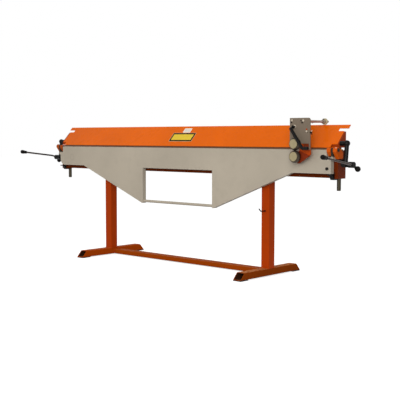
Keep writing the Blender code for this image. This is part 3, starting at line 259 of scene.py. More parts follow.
def nut(foot, axis, across, height, hole=0.0, turn=0.0):
    """A hexagon nut or bolt head: its flats between two round chamfers, and a domed stud end or a hole."""
    corner = across / 2 / np.cos(np.pi / 6)
    rim = 0.12 * corner
    profile = [(0, 0), (corner - rim, 0), (corner, 0.14 * height), (corner, 0.86 * height),
               (corner - rim, height)]
    flats = [0, 0, 1, 1, 0]
    if hole:
        profile += [(hole * 1.08, height), (hole, 0.93 * height), (hole, 0.5 * height), (0, 0.5 * height)]
        flats += [0] * 4
    else:
        stud = 0.5 * across / 2
        profile += [(stud * 1.1, height), (stud, 1.05 * height), (stud, 1.35 * height),
                    (stud * 0.8, 1.45 * height), (0, 1.45 * height)]
        flats += [0] * 5
    return turned(profile, foot, axis, flats=flats, turn=turn)


def socket_screw(foot, axis, radius, height):
    """A round screw head with a rounded rim and a hexagon socket sunk in it."""
    key = 0.52 * radius
    profile = np.array([(0, 0), (radius, 0), (radius, 0.8 * height), (0.86 * radius, height),
                        (key * 1.12, height), (key, 0.94 * height), (key, 0.45 * height), (0, 0.4 * height)])
    return turned(profile, foot, axis, flats=[0, 0, 0, 0, 0.6, 1, 1, 1])


# ---- pieces

def placed(name, data):
    """A new object in the scene."""
    made = bpy.data.objects.new(name, data)
    bpy.context.scene.collection.objects.link(made)
    return made


def put(name, mesh, finish, body, nodes):
    """Place a finished mesh, give it its finish, ride it on its body, and hide the CAD nodes it stands for.
    """
    mesh.shade_smooth()
    mesh.set_sharp_from_angle(angle=SHARP_FROM)
    mesh.materials.append(finish)
    piece = placed(name, mesh)
    level = piece.modifiers.new("even_shading", "WEIGHTED_NORMAL")
    level.keep_sharp = True
    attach(piece, body)
    if nodes:
        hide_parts(*nodes)
    return piece


def piece(name, shells, finish, body, slot, *nodes):
    """One piece from shells: their points, faces and charts are put end to end, doubled points at poles
    are merged, and every closed shell is turned to face outwards."""
    starts = np.cumsum([0] + [len(s[0]) for s in shells])
    points = np.concatenate([s[0] for s in shells])
    faces = [[i + start for i in face] for s, start in zip(shells, starts) for face in s[1]]
    chart = np.concatenate([s[2] for s in shells])
    mesh = bpy.data.meshes.new(name)
    mesh.from_pydata(points, [], faces)
    order = np.empty(len(mesh.loops), int)
    mesh.loops.foreach_get("vertex_index", order)
    mesh.uv_layers.new(name="length").data.foreach_set("uv", chart[order].ravel())
    mesh.attributes.new("wear", "FLOAT", "POINT")
    work = bmesh.new()
    work.from_mesh(mesh)
    bmesh.ops.remove_doubles(work, verts=work.verts, dist=1e-6)
    bmesh.ops.recalc_face_normals(work, faces=work.faces)
    work.to_mesh(mesh)
    work.free()
    return put(name, mesh, finish, body, nodes)


def softened(name, node, width, finish, body, rounds=2, sharpest=24):
    """A copy of a CAD node with its triangles merged into faces and its sharp edges rounded by a width in
    millimetres. The points in the middle of each rounded edge carry wear 1, for chipped and rubbed paint and
    for painted highlights."""
    work = bmesh.new()
    work.from_mesh(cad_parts[node].data)
    bmesh.ops.remove_doubles(work, verts=work.verts, dist=2e-6)
    bmesh.ops.dissolve_limit(work, angle_limit=np.radians(0.6), verts=work.verts, edges=work.edges)
    sharp = [edge for edge in work.edges
             if len(edge.link_faces) == 2 and edge.calc_face_angle(0) > np.radians(sharpest)]
    made = bmesh.ops.bevel(work, geom=sharp, offset=width * MM, segments=rounds, profile=0.5, affect="EDGES",
                           clamp_overlap=True, offset_type="OFFSET")
    rounded = set(made["faces"])
    layer = work.verts.layers.float.new("wear")
    for vert in work.verts:
        vert[layer] = float(all(face in rounded for face in vert.link_faces))
    mesh = bpy.data.meshes.new(name)
    work.to_mesh(mesh)
    work.free()
    return put(name, mesh, finish, body, [node])


# ---- places, from the CAD nodes

def corners(node):
    """The low and the high corner of the box round a CAD node."""
    low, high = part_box(node)
    return np.array(low), np.array(high)


def middle(node):
    """The middle of the box round a CAD node."""
    low, high = corners(node)
    return (low + high) / 2


def inner_end(node, side):
    """The X of a node's end that is nearer the object's middle, and its length along X in millimetres."""
    low, high = corners(node)
    return low[0] if side > 0 else high[0], (high[0] - low[0]) / MM


POST_X, POST_Y = middle("post_right")[:2]
POST_LOW, POST_HIGH = corners("post_right")
FOOT_LOW, FOOT_HIGH = corners("foot_right")
BEAM_LOW, BEAM_HIGH = corners("lower_beam")
BAR_LOW, BAR_HIGH = corners("crossbar")
POST_HALF, TUBE_WALL, BEAM_WALL = 35 * MM, 4 * MM, 5 * MM
SEAM_OUT = 0.5 * MM
SEAM_HALF = POST_HALF + SEAM_OUT
FOOT_SLANT = 45 * MM
BOX_END = corners("end_box_right")[1][0]
BEND = middle("hinge_pin_right")
LINK = middle("link_pin_right")
CRANK_PIVOT = np.array((POST_Y - 0.0088, BEND[2] - 0.075))
CRANK_THROW, CRANK_REST, CRANK_TRAVEL = 0.0245, np.radians(-60), np.radians(110)
CRANK_PIN = CRANK_PIVOT + CRANK_THROW * np.array((-np.cos(CRANK_REST), np.sin(CRANK_REST)))
SLOT_HALF, STRAP_HALF = 8.6 * MM, 15.1 * MM
TIE_X = BOX_END + 0.048
WEB_IN = BOX_END + 0.017
WEB_OUT = WEB_IN + 0.013
HUB_IN = TIE_X + 0.022
HUB_X = HUB_IN + 0.0225
GRIP_REACH, GRIP_LENGTH = 0.397, 0.06
PLATE_LOW, PLATE_HIGH = corners("cutter_plate")
PLATE_FRONT, PLATE_REAR = PLATE_LOW[1], PLATE_HIGH[1]
CUTTER_X = (PLATE_LOW[0] + PLATE_HIGH[0]) / 2
PLATE_TRIM, PLATE_END = 5.5 * MM, 17.5 * MM
PLATE_RIGHT = PLATE_HIGH[0] - PLATE_TRIM
RIGHT_ARM_X, WHEEL_Y, WHEEL_Z = middle("rail_wheel")
ARMS = (CUTTER_X - 0.07, RIGHT_ARM_X)
PUSH_OUT = 42  # millimetres, as on_plate takes them
FILM_THICK = 0.7 * MM
UP_SLOPE = unit((0.1447, 0.1515))
OFF_SLOPE = np.array((-UP_SLOPE[1], UP_SLOPE[0]))

# Colours below and on top of the paint, and the grey that two finishes share
BARE = (0.16, 0.13, 0.11)
PRIMER = (0.2, 0.17, 0.14)
CREAM_PRIMER = (0.2, 0.17, 0.12)
GREY = (0.47, 0.412, 0.326)
SHADE_NEAR_BLACK = (0.014, 0.007, 0.003)
OIL_STAIN = (0.05, 0.035, 0.02)
GREY_DUST = (0.34, 0.31, 0.27)
RUSTY_DUST = (0.56, 0.21, 0.075)
PALE_DUST_AND_HIGHLIGHT = (0.85, 0.36, 0.13)

# ---- finishes

def operator(operation, swapped=False):
    """An arithmetic operator of wires. It adds the Math node that works it out."""
    return lambda wire, other: wire.math(operation, *((other, wire) if swapped else (wire, other)))


class Wire:
    """A value in a material, which arithmetic, abs and the methods turn into further values."""

    def __init__(self, finish, socket):
        self.finish, self.socket = finish, socket

    def math(self, operation, first, second=0.0):
        """The result of one Math node."""
        return self.finish.node("Math", {"operation": operation}, {0: first, 1: second})

    __add__, __radd__ = operator("ADD"), operator("ADD", swapped=True)
    __sub__, __rsub__ = operator("SUBTRACT"), operator("SUBTRACT", swapped=True)
    __mul__, __rmul__ = operator("MULTIPLY"), operator("MULTIPLY", swapped=True)
    __truediv__ = operator("DIVIDE")

    def __abs__(self):
        return self.math("ABSOLUTE", self)

    def over(self, low, high):
        """0 below low, 1 above high, and a smooth rise between."""
        return self.finish.node("MapRange", {"interpolation_type": "SMOOTHSTEP"},
                                {"Value": self, "From Min": low, "From Max": high})

    def least(self, other):
        """The smaller of two values."""
        return self.math("MINIMUM", self, other)

    def most(self, other):
        """The larger of two values."""
        return self.math("MAXIMUM", self, other)


class Finish:
    """A material or a world, built from nodes by one method."""

    def __init__(self, name, made_in=bpy.data.materials):
        self.made = made_in.new(name)
        self.made.use_nodes = True
        self.tree = self.made.node_tree
        self.tree.nodes.clear()
        self.place = self.node("TexCoord", out="Object")

    def node(self, kind, settings=(), values=(), out=0):
        """A node of a kind, its settings first, then the values or wires of its sockets."""
        made = self.tree.nodes.new("ShaderNode" + kind)
        for key, value in dict(settings).items():
            setattr(made, key, value)
        for key, value in dict(values).items():
            if isinstance(value, Wire):
                self.tree.links.new(value.socket, made.inputs[key])
            else:
                made.inputs[key].default_value = value
        return Wire(self, made.outputs[out]) if len(made.outputs) else made

    def background_rays(self):
        """1 for the rays that see the background: those of the camera, of gloss and of glass."""
        camera, gloss, glass = (self.node("LightPath", out=f"Is {kind} Ray")
                                for kind in ("Camera", "Glossy", "Transmission"))
        return camera.most(gloss).most(glass)

    def stretched(self, scale, turn=(0, 0, 0)):
        """Object coordinates stretched along the axes."""
        return self.node("Mapping", {}, {"Vector": self.place, "Scale": scale, "Rotation": turn})

    def noise(self, scale, detail=3.0, roughness=0.55, vector=None):
        """Smooth noise in space, from 0 to 1."""
        return self.node("TexNoise", {"noise_dimensions": "3D"},
                         {"Vector": vector or self.place, "Scale": scale, "Detail": detail,
                          "Roughness": roughness})

    def wear(self):
        """1 along the rounded edges of a softened piece, 0 elsewhere."""
        return self.node("Attribute", {"attribute_name": "wear"}, out="Fac")

    def facing_up(self):
        """The upward part of the surface's direction."""
        return self.node("SeparateXYZ", {}, {"Vector": self.node("NewGeometry", out="Normal")}, out="Z")

    def mix(self, share, first, second):
        """A colour between two colours."""
        values = {0: share, 6: first, 7: second}
        return self.node("Mix", {"data_type": "RGBA"},
                         {key: value if isinstance(value, (Wire, float, int)) else (*value, 1.0)
                          for key, value in values.items()}, out=2)

    def normal(self, height, distance, strength):
        """The surface's direction, tilted as a height that spans a distance in metres would tilt it."""
        return self.node("Bump", {}, {"Height": height, "Distance": distance, "Strength": strength})

    def done(self, colour, roughness, metallic=0.0, normal=None, **fixed):
        """The closing shader. Fixed values sit on its own sockets."""
        values = {"Base Color": colour, "Roughness": roughness, "Metallic": metallic}
        if normal:
            values["Normal"] = normal
        values.update({key.replace("_", " "): value for key, value in fixed.items()})
        shader = self.node("BsdfPrincipled", {}, values)
        self.node("OutputMaterial", {}, {"Surface": shader})
        return self.made


def shade(colour, factor):
    """A colour made darker or lighter."""
    return tuple(min(channel * factor, 1.0) for channel in colour)


def enamel(name, colour, roughness, bare=BARE, coat=0.0, chips=0.5, dust=0.0, edge=0.0, dent=None,
           pin_shade=None, settled=GREY_DUST, shine=0.04):
    """Sprayed enamel: broad and fine changes of tone, rubbed smudges that dull it, thin hairline scuffs,
    chipped edges that show what is below, and the low ripple of sprayed paint. dent is a point with a
    stain round a shallow hollow, grease the Y and Z of a pin with painted shade, near black, round it, edge
    the share of a painted highlight, a paler tone on rounded edges, settled the colour of dust on top."""
    f = Finish(name)
    broad = f.noise(1.7, 2.0)
    cloud = f.noise(14.0, 4.0)
    tone = f.mix(broad.over(0.3, 0.7), shade(colour, 0.93), shade(colour, 1.05))
    tone = f.mix(cloud.over(0.45, 0.75) * 0.35, tone, shade(colour, 0.86))
    smudge = f.noise(5.0, 5.0, 0.62, f.stretched((1.0, 1.0, 2.4))).over(0.5, 0.72)
    hair = f.noise(7.0, 2.0, 0.5, f.stretched((3.0, 3.0, 90.0), (0.35, 0.2, 0.0))).over(0.71, 0.74)
    tone = f.mix(hair * 0.22, tone, shade(colour, 1.35))
    rounded_edges = f.wear()
    patchy = f.noise(38.0, 5.0, 0.7)
    # Painted highlight: a paler tone along rounded edges, where they catch the light
    if edge:
        tone = f.mix(rounded_edges * edge, tone, tuple(0.45 + 0.55 * channel for channel in colour))
    chip = (rounded_edges * patchy).over(0.56, 0.63) * chips
    tone = f.mix(chip, tone, bare)
    lying = f.facing_up().over(0.75, 0.98) * f.noise(55.0, 3.0).over(0.35, 0.75) * (0.16 + dust)
    tone = f.mix(lying, tone, settled)
    height = f.noise(420.0, 2.0) * 0.35 + cloud * 0.4
    if dent:
        away = f.node("VectorMath", {"operation": "DISTANCE"}, {0: f.place, 1: dent}, out="Value")
        ring = away.over(0.012, 0.021) * (1.0 - away.over(0.024, 0.036))
        tone = f.mix(ring * 0.3, tone, shade(colour, 0.72))
        height = height - (1.0 - away.over(0.0, 0.024)) * 0.6
    # Painted shade: near black round the pin, for the shade between the hinge cheeks
    if pin_shade:
        flat = f.node("VectorMath", {"operation": "MULTIPLY"}, {0: f.place, 1: (0.0, 1.0, 1.0)})
        away = f.node("VectorMath", {"operation": "DISTANCE"}, {0: flat, 1: (0.0, *pin_shade)}, out="Value")
        tone = f.mix((1.0 - (away + cloud * 0.01).over(0.046, 0.062)) * 0.95, tone, SHADE_NEAR_BLACK)
    gloss = roughness + smudge * 0.14 + lying * 0.3 + chip * 0.2 - cloud * 0.05
    return f.done(tone, gloss, chip * 0.5, f.normal(height, 0.0007, 0.4), Coat_Weight=coat,
                  Coat_Roughness=0.15, Specular_IOR_Level=shine)


def steel(name, colour, roughness, metallic):
    """Ground or brushed steel: fine lines along X, a slow change of tone, and dull oily stains."""
    f = Finish(name)
    lines = f.noise(900.0, 2.0, 0.6, f.stretched((0.05, 1.0, 1.0)))
    cloud = f.noise(11.0, 4.0)
    tone = f.mix(lines, shade(colour, 0.8), shade(colour, 1.12))
    stains = f.noise(26.0, 5.0, 0.66).over(0.5, 0.7) * 0.3
    tone = f.mix(stains, tone, OIL_STAIN)
    rounded_edges = f.wear()
    tone = f.mix(rounded_edges * 0.35, tone, shade(colour, 1.5))
    gloss = roughness + (lines - 0.5) * 0.16 + stains * 0.3 + (cloud - 0.5) * 0.1
    return f.done(tone, gloss, metallic - stains * 0.4, f.normal(lines, 0.0002, 0.35))


def lathe_steel(name, colour, roughness, metallic=1.0, pitch=0.0007, stained=0.25):
    """Turned steel: rings that follow the piece's own chart, whose first part is the length along the
    profile, with a slow change of tone and oily stains."""
    f = Finish(name)
    chart = f.node("UVMap", {"uv_map": "length"})
    along = f.node("SeparateXYZ", {}, {"Vector": chart}, out="X")
    rings = f.node("TexNoise", {"noise_dimensions": "1D"}, {"W": along / pitch, "Scale": 1.0, "Detail": 2.0})
    stains = f.noise(34.0, 5.0, 0.66).over(0.5, 0.72) * stained
    tone = f.mix(rings, shade(colour, 0.78), shade(colour, 1.15))
    tone = f.mix(stains, tone, shade(colour, 0.35))
    gloss = roughness + (rings - 0.5) * 0.2 + stains * 0.3
    return f.done(tone, gloss, metallic - stains * 0.3, f.normal(rings, 0.00015, 0.4))


def plastic(name, colour, roughness, dusty):
    """Moulded plastic: a faint moulded ripple, finger marks that dull it, and a little dust on top."""
    f = Finish(name)
    marks = f.noise(30.0, 4.0).over(0.45, 0.7)
    dust = f.facing_up().over(0.5, 1.0) * f.noise(160.0, 3.0).over(0.4, 0.7) * dusty
    tone = f.mix(marks * 0.4, colour, shade(colour, 1.6))
    tone = f.mix(dust, tone, (0.3, 0.28, 0.25))
    return f.done(tone, roughness + marks * 0.12 + dust, 0.0, f.normal(f.noise(240.0, 2.0), 0.0004, 0.25),
                  Specular_IOR_Level=0.05)


def rubber(name, colour):
    """Matt rubber: fine grain, pale scuffs and dust at the edges."""
    f = Finish(name)
    scuff = f.noise(45.0, 5.0, 0.7).over(0.55, 0.75)
    rounded_edges = f.wear()
    tone = f.mix((scuff * 0.25 + rounded_edges * 0.3).least(0.5), colour, (0.12, 0.11, 0.1))
    return f.done(tone, 0.82 + scuff * 0.1, 0.0, f.normal(f.noise(700.0, 3.0), 0.0004, 0.5))


def film(name, node, colour, rim, frame_colour, outer, inner):
    """A blank printed film on the slope: one colour inside a thin frame that runs from outer to inner, in
    metres from the edge, and a pale rim outside it. The distance in from the edge is the least of half the
    width minus the distance across from its middle, and half the height minus the distance along the slope
    from its middle."""
    f = Finish(name)
    low, high = corners(node)
    mid, half = (low + high) / 2, (high - low) / 2
    across = f.node("SeparateXYZ", {}, {"Vector": f.place}, out="X")
    along = f.node("VectorMath", {"operation": "DOT_PRODUCT"}, {0: f.place, 1: (0.0, *UP_SLOPE)}, out="Value")
    edge = (half[0] - abs(across - mid[0])).least(
        half[1] / UP_SLOPE[0] - abs(along - mid[1:] @ UP_SLOPE))
    marks = f.noise(30.0, 4.0).over(0.45, 0.75)
    tone = f.mix(marks * 0.3, colour, shade(colour, 0.86))
    tone = f.mix(1.0 - edge.over(inner - 0.0008, inner + 0.0008), tone, frame_colour)
    tone = f.mix(1.0 - edge.over(outer - 0.0006, outer + 0.0006), tone, rim)
    return f.done(tone, 0.42 + marks * 0.15, 0.0, f.normal(f.noise(180.0, 2.0), 0.0002, 0.3),
                  Specular_IOR_Level=0.04)


# Where edge is set, rounded edges get a painted highlight, a paler tone
orange = enamel("orange_enamel", (0.77, 0.13, 0.002), 0.3, edge=0.3)
stand_orange = enamel("stand_enamel", (0.41, 0.042, 0.001), 0.34, dust=0.3, settled=RUSTY_DUST)
# The right foot's darker paint is painted shade, and the pale colour settled on its top is dust with a
# painted highlight
foot_finish = {-1: enamel("left_foot_enamel", (0.42, 0.056, 0.002), 0.5, dust=0.5, settled=RUSTY_DUST,
                          shine=0.008),
               1: enamel("right_foot_shaded_enamel", (0.25, 0.043, 0.003), 0.5, dust=0.75, settled=PALE_DUST_AND_HIGHLIGHT,
                         shine=0.008)}
# Painted shade: the dark of a tube's inside, for the lining of the feet
inside_shade = enamel("tube_inside_shade", (0.05, 0.016, 0.007), 0.5, dust=-0.12)
# The left fork's darker paint is painted shade; its many chips are wear
fork_finish = {1: enamel("fork_enamel", (0.66, 0.105, 0.005), 0.33, edge=0.25),
               -1: enamel("worn_and_shaded_fork_enamel", (0.42, 0.075, 0.008), 0.38, chips=0.8)}
dark_orange = enamel("beam_enamel", (0.29, 0.036, 0.003), 0.38)
bar_orange = enamel("crossbar_enamel", (0.34, 0.052, 0.002), 0.5, dust=0.45, settled=RUSTY_DUST, shine=0.008)
# Painted shade: the end boxes carry the orange paint as it looks in the shade of the hinges and the bending
# beam
box_shaded_red = enamel("end_box_enamel", (0.155, 0.022, 0.003), 0.4, dust=-0.08)
# Painted shade: the lower beam carries the orange paint as it looks in the apron's shadow
tube_shaded_red = enamel("lower_beam_enamel", (0.125, 0.019, 0.002), 0.45, dust=-0.12, shine=0.008)
holder_orange = enamel("holder_enamel", (0.46, 0.058, 0.005), 0.32)
# Painted shade: the wing lies in the block's shadow, the block in the push bar's shadow
holder_shaded_red = enamel("holder_red_enamel", (0.24, 0.03, 0.008), 0.36)
block_shaded_red = enamel("holder_block_enamel", (0.17, 0.026, 0.006), 0.36, edge=0.4)
sheet_grey = enamel("apron_enamel", GREY, 0.4, PRIMER, chips=0.35, edge=0.3, dent=(-1.244, -0.054, 0.81))
# Painted shade: near black round the hinge pin, where the ear lies in shade between the cheeks
eye_grey_shaded = enamel("eye_shaded_enamel", GREY, 0.4, PRIMER, chips=0.35, pin_shade=(BEND[1], BEND[2]))
plate_grey = enamel("cutter_plate_enamel", (0.2, 0.157, 0.115), 0.45, (0.3, 0.28, 0.25), chips=0.7)
cream = enamel("cream_enamel", (0.39, 0.327, 0.187), 0.4, CREAM_PRIMER)
wheel_cream = enamel("wheel_enamel", (0.52, 0.44, 0.27), 0.4, CREAM_PRIMER)
collar_beige = enamel("collar_enamel", (0.34, 0.29, 0.22), 0.4, CREAM_PRIMER)
black = enamel("blackened_steel", (0.005, 0.0044, 0.004), 0.35, (0.1, 0.09, 0.085), coat=0.13)
dark_steel = steel("oiled_tool_steel", (0.06, 0.03, 0.014), 0.45, 0.85)
# Painted shade: the clamping edge is brown, as the nose above it looks in shade
edge_steel_shaded = steel("clamping_edge_steel", (0.11, 0.045, 0.016), 0.5, 0.7)
ground_steel = lathe_steel("ground_steel", (0.045, 0.038, 0.026), 0.34)
knife_steel = lathe_steel("knife_steel", (0.06, 0.047, 0.034), 0.36, metallic=0.9)
pin_steel = lathe_steel("hinge_pin_steel", (0.02, 0.009, 0.004), 0.5, metallic=0.3)
bronze = lathe_steel("bearing_bronze", (0.4, 0.28, 0.12), 0.33)
rod_steel = lathe_steel("rod_steel", (0.04, 0.028, 0.023), 0.24, pitch=0.0012)
arm_steel = lathe_steel("arm_steel", (0.34, 0.25, 0.22), 0.32, pitch=0.0012)
zinc = lathe_steel("zinc_plated", (0.47, 0.4, 0.31), 0.42, metallic=0.5, stained=0.2)
grip_black = plastic("grip_plastic", (0.005, 0.0045, 0.004), 0.42, 0.03)
pad_black = rubber("pad_rubber", (0.02, 0.02, 0.02))


# ---- stand

def tube_in(node, wall, corner=6 * MM):
    """A square tube along X that fills the box round a CAD node."""
    low, high = corners(node)
    return box_tube(low[1:], high[1:], wall, along_x, (low[0], high[0]), corner)


def slanted(outline):
    """The two ends of a foot. Each lies further in by the slant times the share of the foot's height."""
    rise = (outline[:, 1] - FOOT_LOW[2]) / (FOOT_HIGH[2] - FOOT_LOW[2])
    return FOOT_LOW[1] + FOOT_SLANT * rise, FOOT_HIGH[1] - FOOT_SLANT * rise


for side, word in SIDE_WORDS:
    x = side * POST_X
    left, right = x - POST_HALF, x + POST_HALF
    piece(f"foot_tube_{word}",
          [box_tube((left, FOOT_LOW[2]), (right, FOOT_HIGH[2]), TUBE_WALL, along_y, slanted)],
          foot_finish[side], "stand", "stand_paint", f"foot_{word}")
    # A thin lining inside the tube, seen through its open ends, with painted shade: the dark of the tube's
    # inside
    lining = [soften(rectangle((left + gap, FOOT_LOW[2] + gap), (right - gap, FOOT_HIGH[2] - gap)), corner,
                     closed=True) for gap, corner in ((0.0042, 0.002), (0.0048, 0.0015))]
    near, far = slanted(lining[0])
    piece(f"foot_inside_{word}", [hollow(*lining, near + 0.004, far - 0.004, along_y, 0.0002)],
          inside_shade, "stand", "stand_paint")
    piece(f"post_tube_{word}",
          [box_tube((left, POST_LOW[1]), (right, POST_HIGH[1]), TUBE_WALL, along_z,
                    (POST_LOW[2], POST_HIGH[2]))],
          stand_orange, "stand", "stand_paint", f"post_{word}")
    # Seams at the foot and the top of the post, and round three sides of the crossbar's end
    ring = rectangle((x - SEAM_HALF, POST_LOW[1] - SEAM_OUT), (x + SEAM_HALF, POST_HIGH[1] + SEAM_OUT))
    ring = joined(soften(ring, 0.006, closed=True))
    foot_seam, top_seam = (np.column_stack([ring, np.full(len(ring), z)])
                           for z in (FOOT_HIGH[2] + 0.0008, POST_HIGH[2] - 0.0008))
    side_seam = [(x - side * SEAM_HALF, y, z)
                 for y, z in ((BAR_LOW[1], BAR_LOW[2] + 0.004), (BAR_LOW[1], BAR_HIGH[2]),
                              (BAR_HIGH[1], BAR_HIGH[2]), (BAR_HIGH[1], BAR_LOW[2] + 0.004))]
    piece(f"stand_welds_{word}",
          [bead(foot_seam, 3.2 * MM), bead(top_seam), bead(soften(side_seam, 0.005))],
          stand_orange, "stand", "stand_paint")
    for place in ("front", "rear"):
        softened(f"pad_{word}_{place}", f"foot_pad_{word}_{place}", 1.6, pad_black, "stand")

piece("crossbar_tube", [tube_in("crossbar", TUBE_WALL)], bar_orange, "stand", "dark_paint", "crossbar")
piece("lower_beam_tube", [tube_in("lower_beam", BEAM_WALL, 8 * MM)], tube_shaded_red, "stand", "dark_paint",
      "lower_beam")
softened("bed_bar", "bed_strip", 0.8, dark_steel, "stand")

hook_y = POST_LOW[1] - 0.0003
hook = soften([(POST_X, hook_y - out, z) for out, z in ((0.0, 0.464), (0.05, 0.464), (0.07, 0.483))],
              0.012, 10)
piece("tool_hook_rod",
      [bar(hook, 0.004, 24, 0.0008),
       turned(soften(mm([(0, 0), (7.5, 0), (4.5, 4), (0, 4)]), 0.0012, 4), hook[0], FRONT, 24)],
      black, "stand", "black_steel", "tool_hook")

# ---- ends of the lower beam, and the hinges

for side, word in SIDE_WORDS:
    softened(f"end_box_shell_{word}", f"end_box_{word}", 1.4, box_shaded_red, "stand")
    softened(f"hinge_fork_{word}", f"hinge_bracket_{word}", 1.3, fork_finish[side], "stand",
             3)
    softened(f"stop_bracket_{word}", f"apron_stop_{word}", 1.0, black, "stand")
    bush = mm([(14.45, 0), (19.4, 0), (20, 1), (20, 97), (24.6, 97), (25, 97.6), (25, 102.2), (24.2, 103),
               (15.2, 103), (14.45, 102.2)])
    bush_foot = (*middle(f"guide_column_{word}")[:2], corners(f"guide_bush_{word}")[0][2])
    piece(f"bush_{word}", [turned(joined(bush), bush_foot, UP)], bronze, "stand", "bush_brass",
          f"guide_bush_{word}")
    start, long = inner_end(f"hinge_pin_{word}", side)
    pin = mm([(0, 0), (6.8, 0), (8, 1.2), (8, long - 5.7), (12, long - 5.7), (12, long - 1.2), (10.8, long),
              (6.2, long), (5.5, long - 0.8), (5.5, long - 4), (0, long - 4.5)])
    piece(f"pivot_pin_{word}", [turned(pin, (start, *BEND[1:]), (side, 0, 0))],
          pin_steel, "stand", "dark_steel", f"hinge_pin_{word}")

# ---- bending beam

softened("apron_sheet", "bending_beam", 1.6, sheet_grey, "bending_beam", 3)
softened("bending_edge", "bending_blade", 0.6, dark_steel, "bending_beam")
for side, word in SIDE_WORDS:
    softened(f"hinge_eye_{word}", f"hinge_ear_{word}", 1.0, eye_grey_shaded, "bending_beam")
low, high = corners("handle_bar")
centre = (low + high) / 2
piece("lift_bar", [bar([(low[0], *centre[1:]), (high[0], *centre[1:])], 0.0105, chamfer=0.0006)],
      sheet_grey, "bending_beam", "sheet_paint", "handle_bar")
low, high = corners("stop_bolt")
centre = (low + high) / 2
shank = 24.3 * MM
piece("apron_bolt",
      [turned([(0, 0), (0.0042, 0), (0.005, 0.0008), (0.005, shank), (0, shank)],
              (centre[0], high[1], centre[2]), FRONT),
       socket_screw((centre[0], high[1] - shank, centre[2]), FRONT, 0.01, high[1] - shank - low[1])],
      black, "bending_beam", "black_steel", "stop_bolt")

# ---- clamping beam

softened("slope_cover", "clamp_beam", 1.5, orange, "clamp_beam", 3)
softened("clamping_edge", "clamp_blade", 0.6, edge_steel_shaded, "clamp_beam")

# The crank pin's path, seen from the beam as it rises, gives the slot of the tie rods' straps: the circle's
# share of the turn, minus the same share of the whole rise
crank_turn = np.linspace(0, 1, 41)
turn = CRANK_REST + CRANK_TRAVEL * crank_turn
path = np.stack([CRANK_THROW * (np.cos(CRANK_REST) - np.cos(turn)),
                 CRANK_THROW * (np.sin(turn) - np.sin(CRANK_REST))
                 - CRANK_THROW * (np.sin(CRANK_REST + CRANK_TRAVEL) - np.sin(CRANK_REST)) * crank_turn], 1)
slot_low, slot_high = CRANK_PIN + path.min(0), CRANK_PIN + path.max(0)
for side, word in SIDE_WORDS:
    softened(f"cover_end_{word}", f"clamp_end_{word}", 1.2, dark_orange, "clamp_beam")
    low, high = corners(f"guide_column_{word}")
    tall = (high[2] - low[2]) / MM
    column = mm([(0, tall), (14, tall), (14, 12), (13.4, 11.5), (13.4, 8.5), (14, 8), (14, 3), (11, 0),
                 (3.5, 0), (0, 3)])
    piece(f"column_{word}", [turned(column, (*(low + high)[:2] / 2, low[2]), UP)], ground_steel, "clamp_beam",
          "bright_steel", f"guide_column_{word}")
    start, long = inner_end(f"link_pin_{word}", side)
    link = mm([(0, 0), (7.2, 0), (8, 0.8), (8, 55.3), (16, 55.3), (16, long - 7.5), (14.8, long - 7.3),
               (14.8, long - 5.8), (16, long - 5.6), (16, long - 1.4), (14.6, long), (0, long)])
    piece(f"link_pin_turned_{word}", [turned(link, (start, *LINK[1:]), (side, 0, 0))], black,
          "clamp_beam", "black_steel", f"link_pin_{word}")
    # Tie rod: ball eye, shank with a flare at each end, and a slotted strap round the crank pin
    x = side * TIE_X
    outer, inner = (soften(rectangle(slot_low - half, slot_high + half), half, 10, closed=True)
                    for half in (STRAP_HALF, SLOT_HALF))
    strap = hollow(outer, inner, x - 0.016, x + 0.016, along_x, 1.2 * MM)
    foot = slot_high[1] + SLOT_HALF
    rise = np.linspace(foot, LINK[2], 30)
    lean = np.stack([np.full(30, x), np.linspace(CRANK_PIN[0], LINK[1], 30), rise], 1)
    flare = 1 + 0.08 * np.exp(-((rise - foot - 0.004) / 0.008) ** 2)
    piece(f"tie_rod_forged_{word}",
          [ball((x, *LINK[1:]), 0.021, RIGHT), bar(lean, 0.0147, upright=RIGHT, swell=flare), strap],
          black, "clamp_beam", "black_steel", f"tie_rod_{word}")

# ---- cranks and levers

web = belt(CRANK_PIVOT, 0.015, CRANK_PIN, 0.013)
hub_profile = soften(mm([(0, 0), (18.5, 0), (20, 2), (20, 43), (18, 45), (8.5, 45), (8, 43.8), (0, 43.8)]),
                     0.0008, 3)
neck = soften(mm([(0, 8.3), (6, 8.3), (6, 22), (8.5, 30), (11, 36), (0, 40)]), 0.003, 4)


def grip_profile(length):
    """A hand grip: its radius grows along a smooth step, 1 / (1 + exp((0.024 - z) / 0.006)), and both ends
    are rounded: there it is scaled by sqrt(1 - (1 - share) ** 2), where share is 0 at the end."""
    z = np.linspace(0, length, 40)
    girth = 0.0118 + 0.0042 / (1 + np.exp((0.024 - z) / 0.006))
    end, start = np.clip((length - z) / 0.015, 0, 1), np.clip(z / 0.003, 0, 1)
    girth = girth * np.sqrt(1 - (1 - end) ** 2) * (0.82 + 0.18 * np.sqrt(1 - (1 - start) ** 2))
    return np.concatenate([[(0, 0)], np.stack([girth, z], 1)])


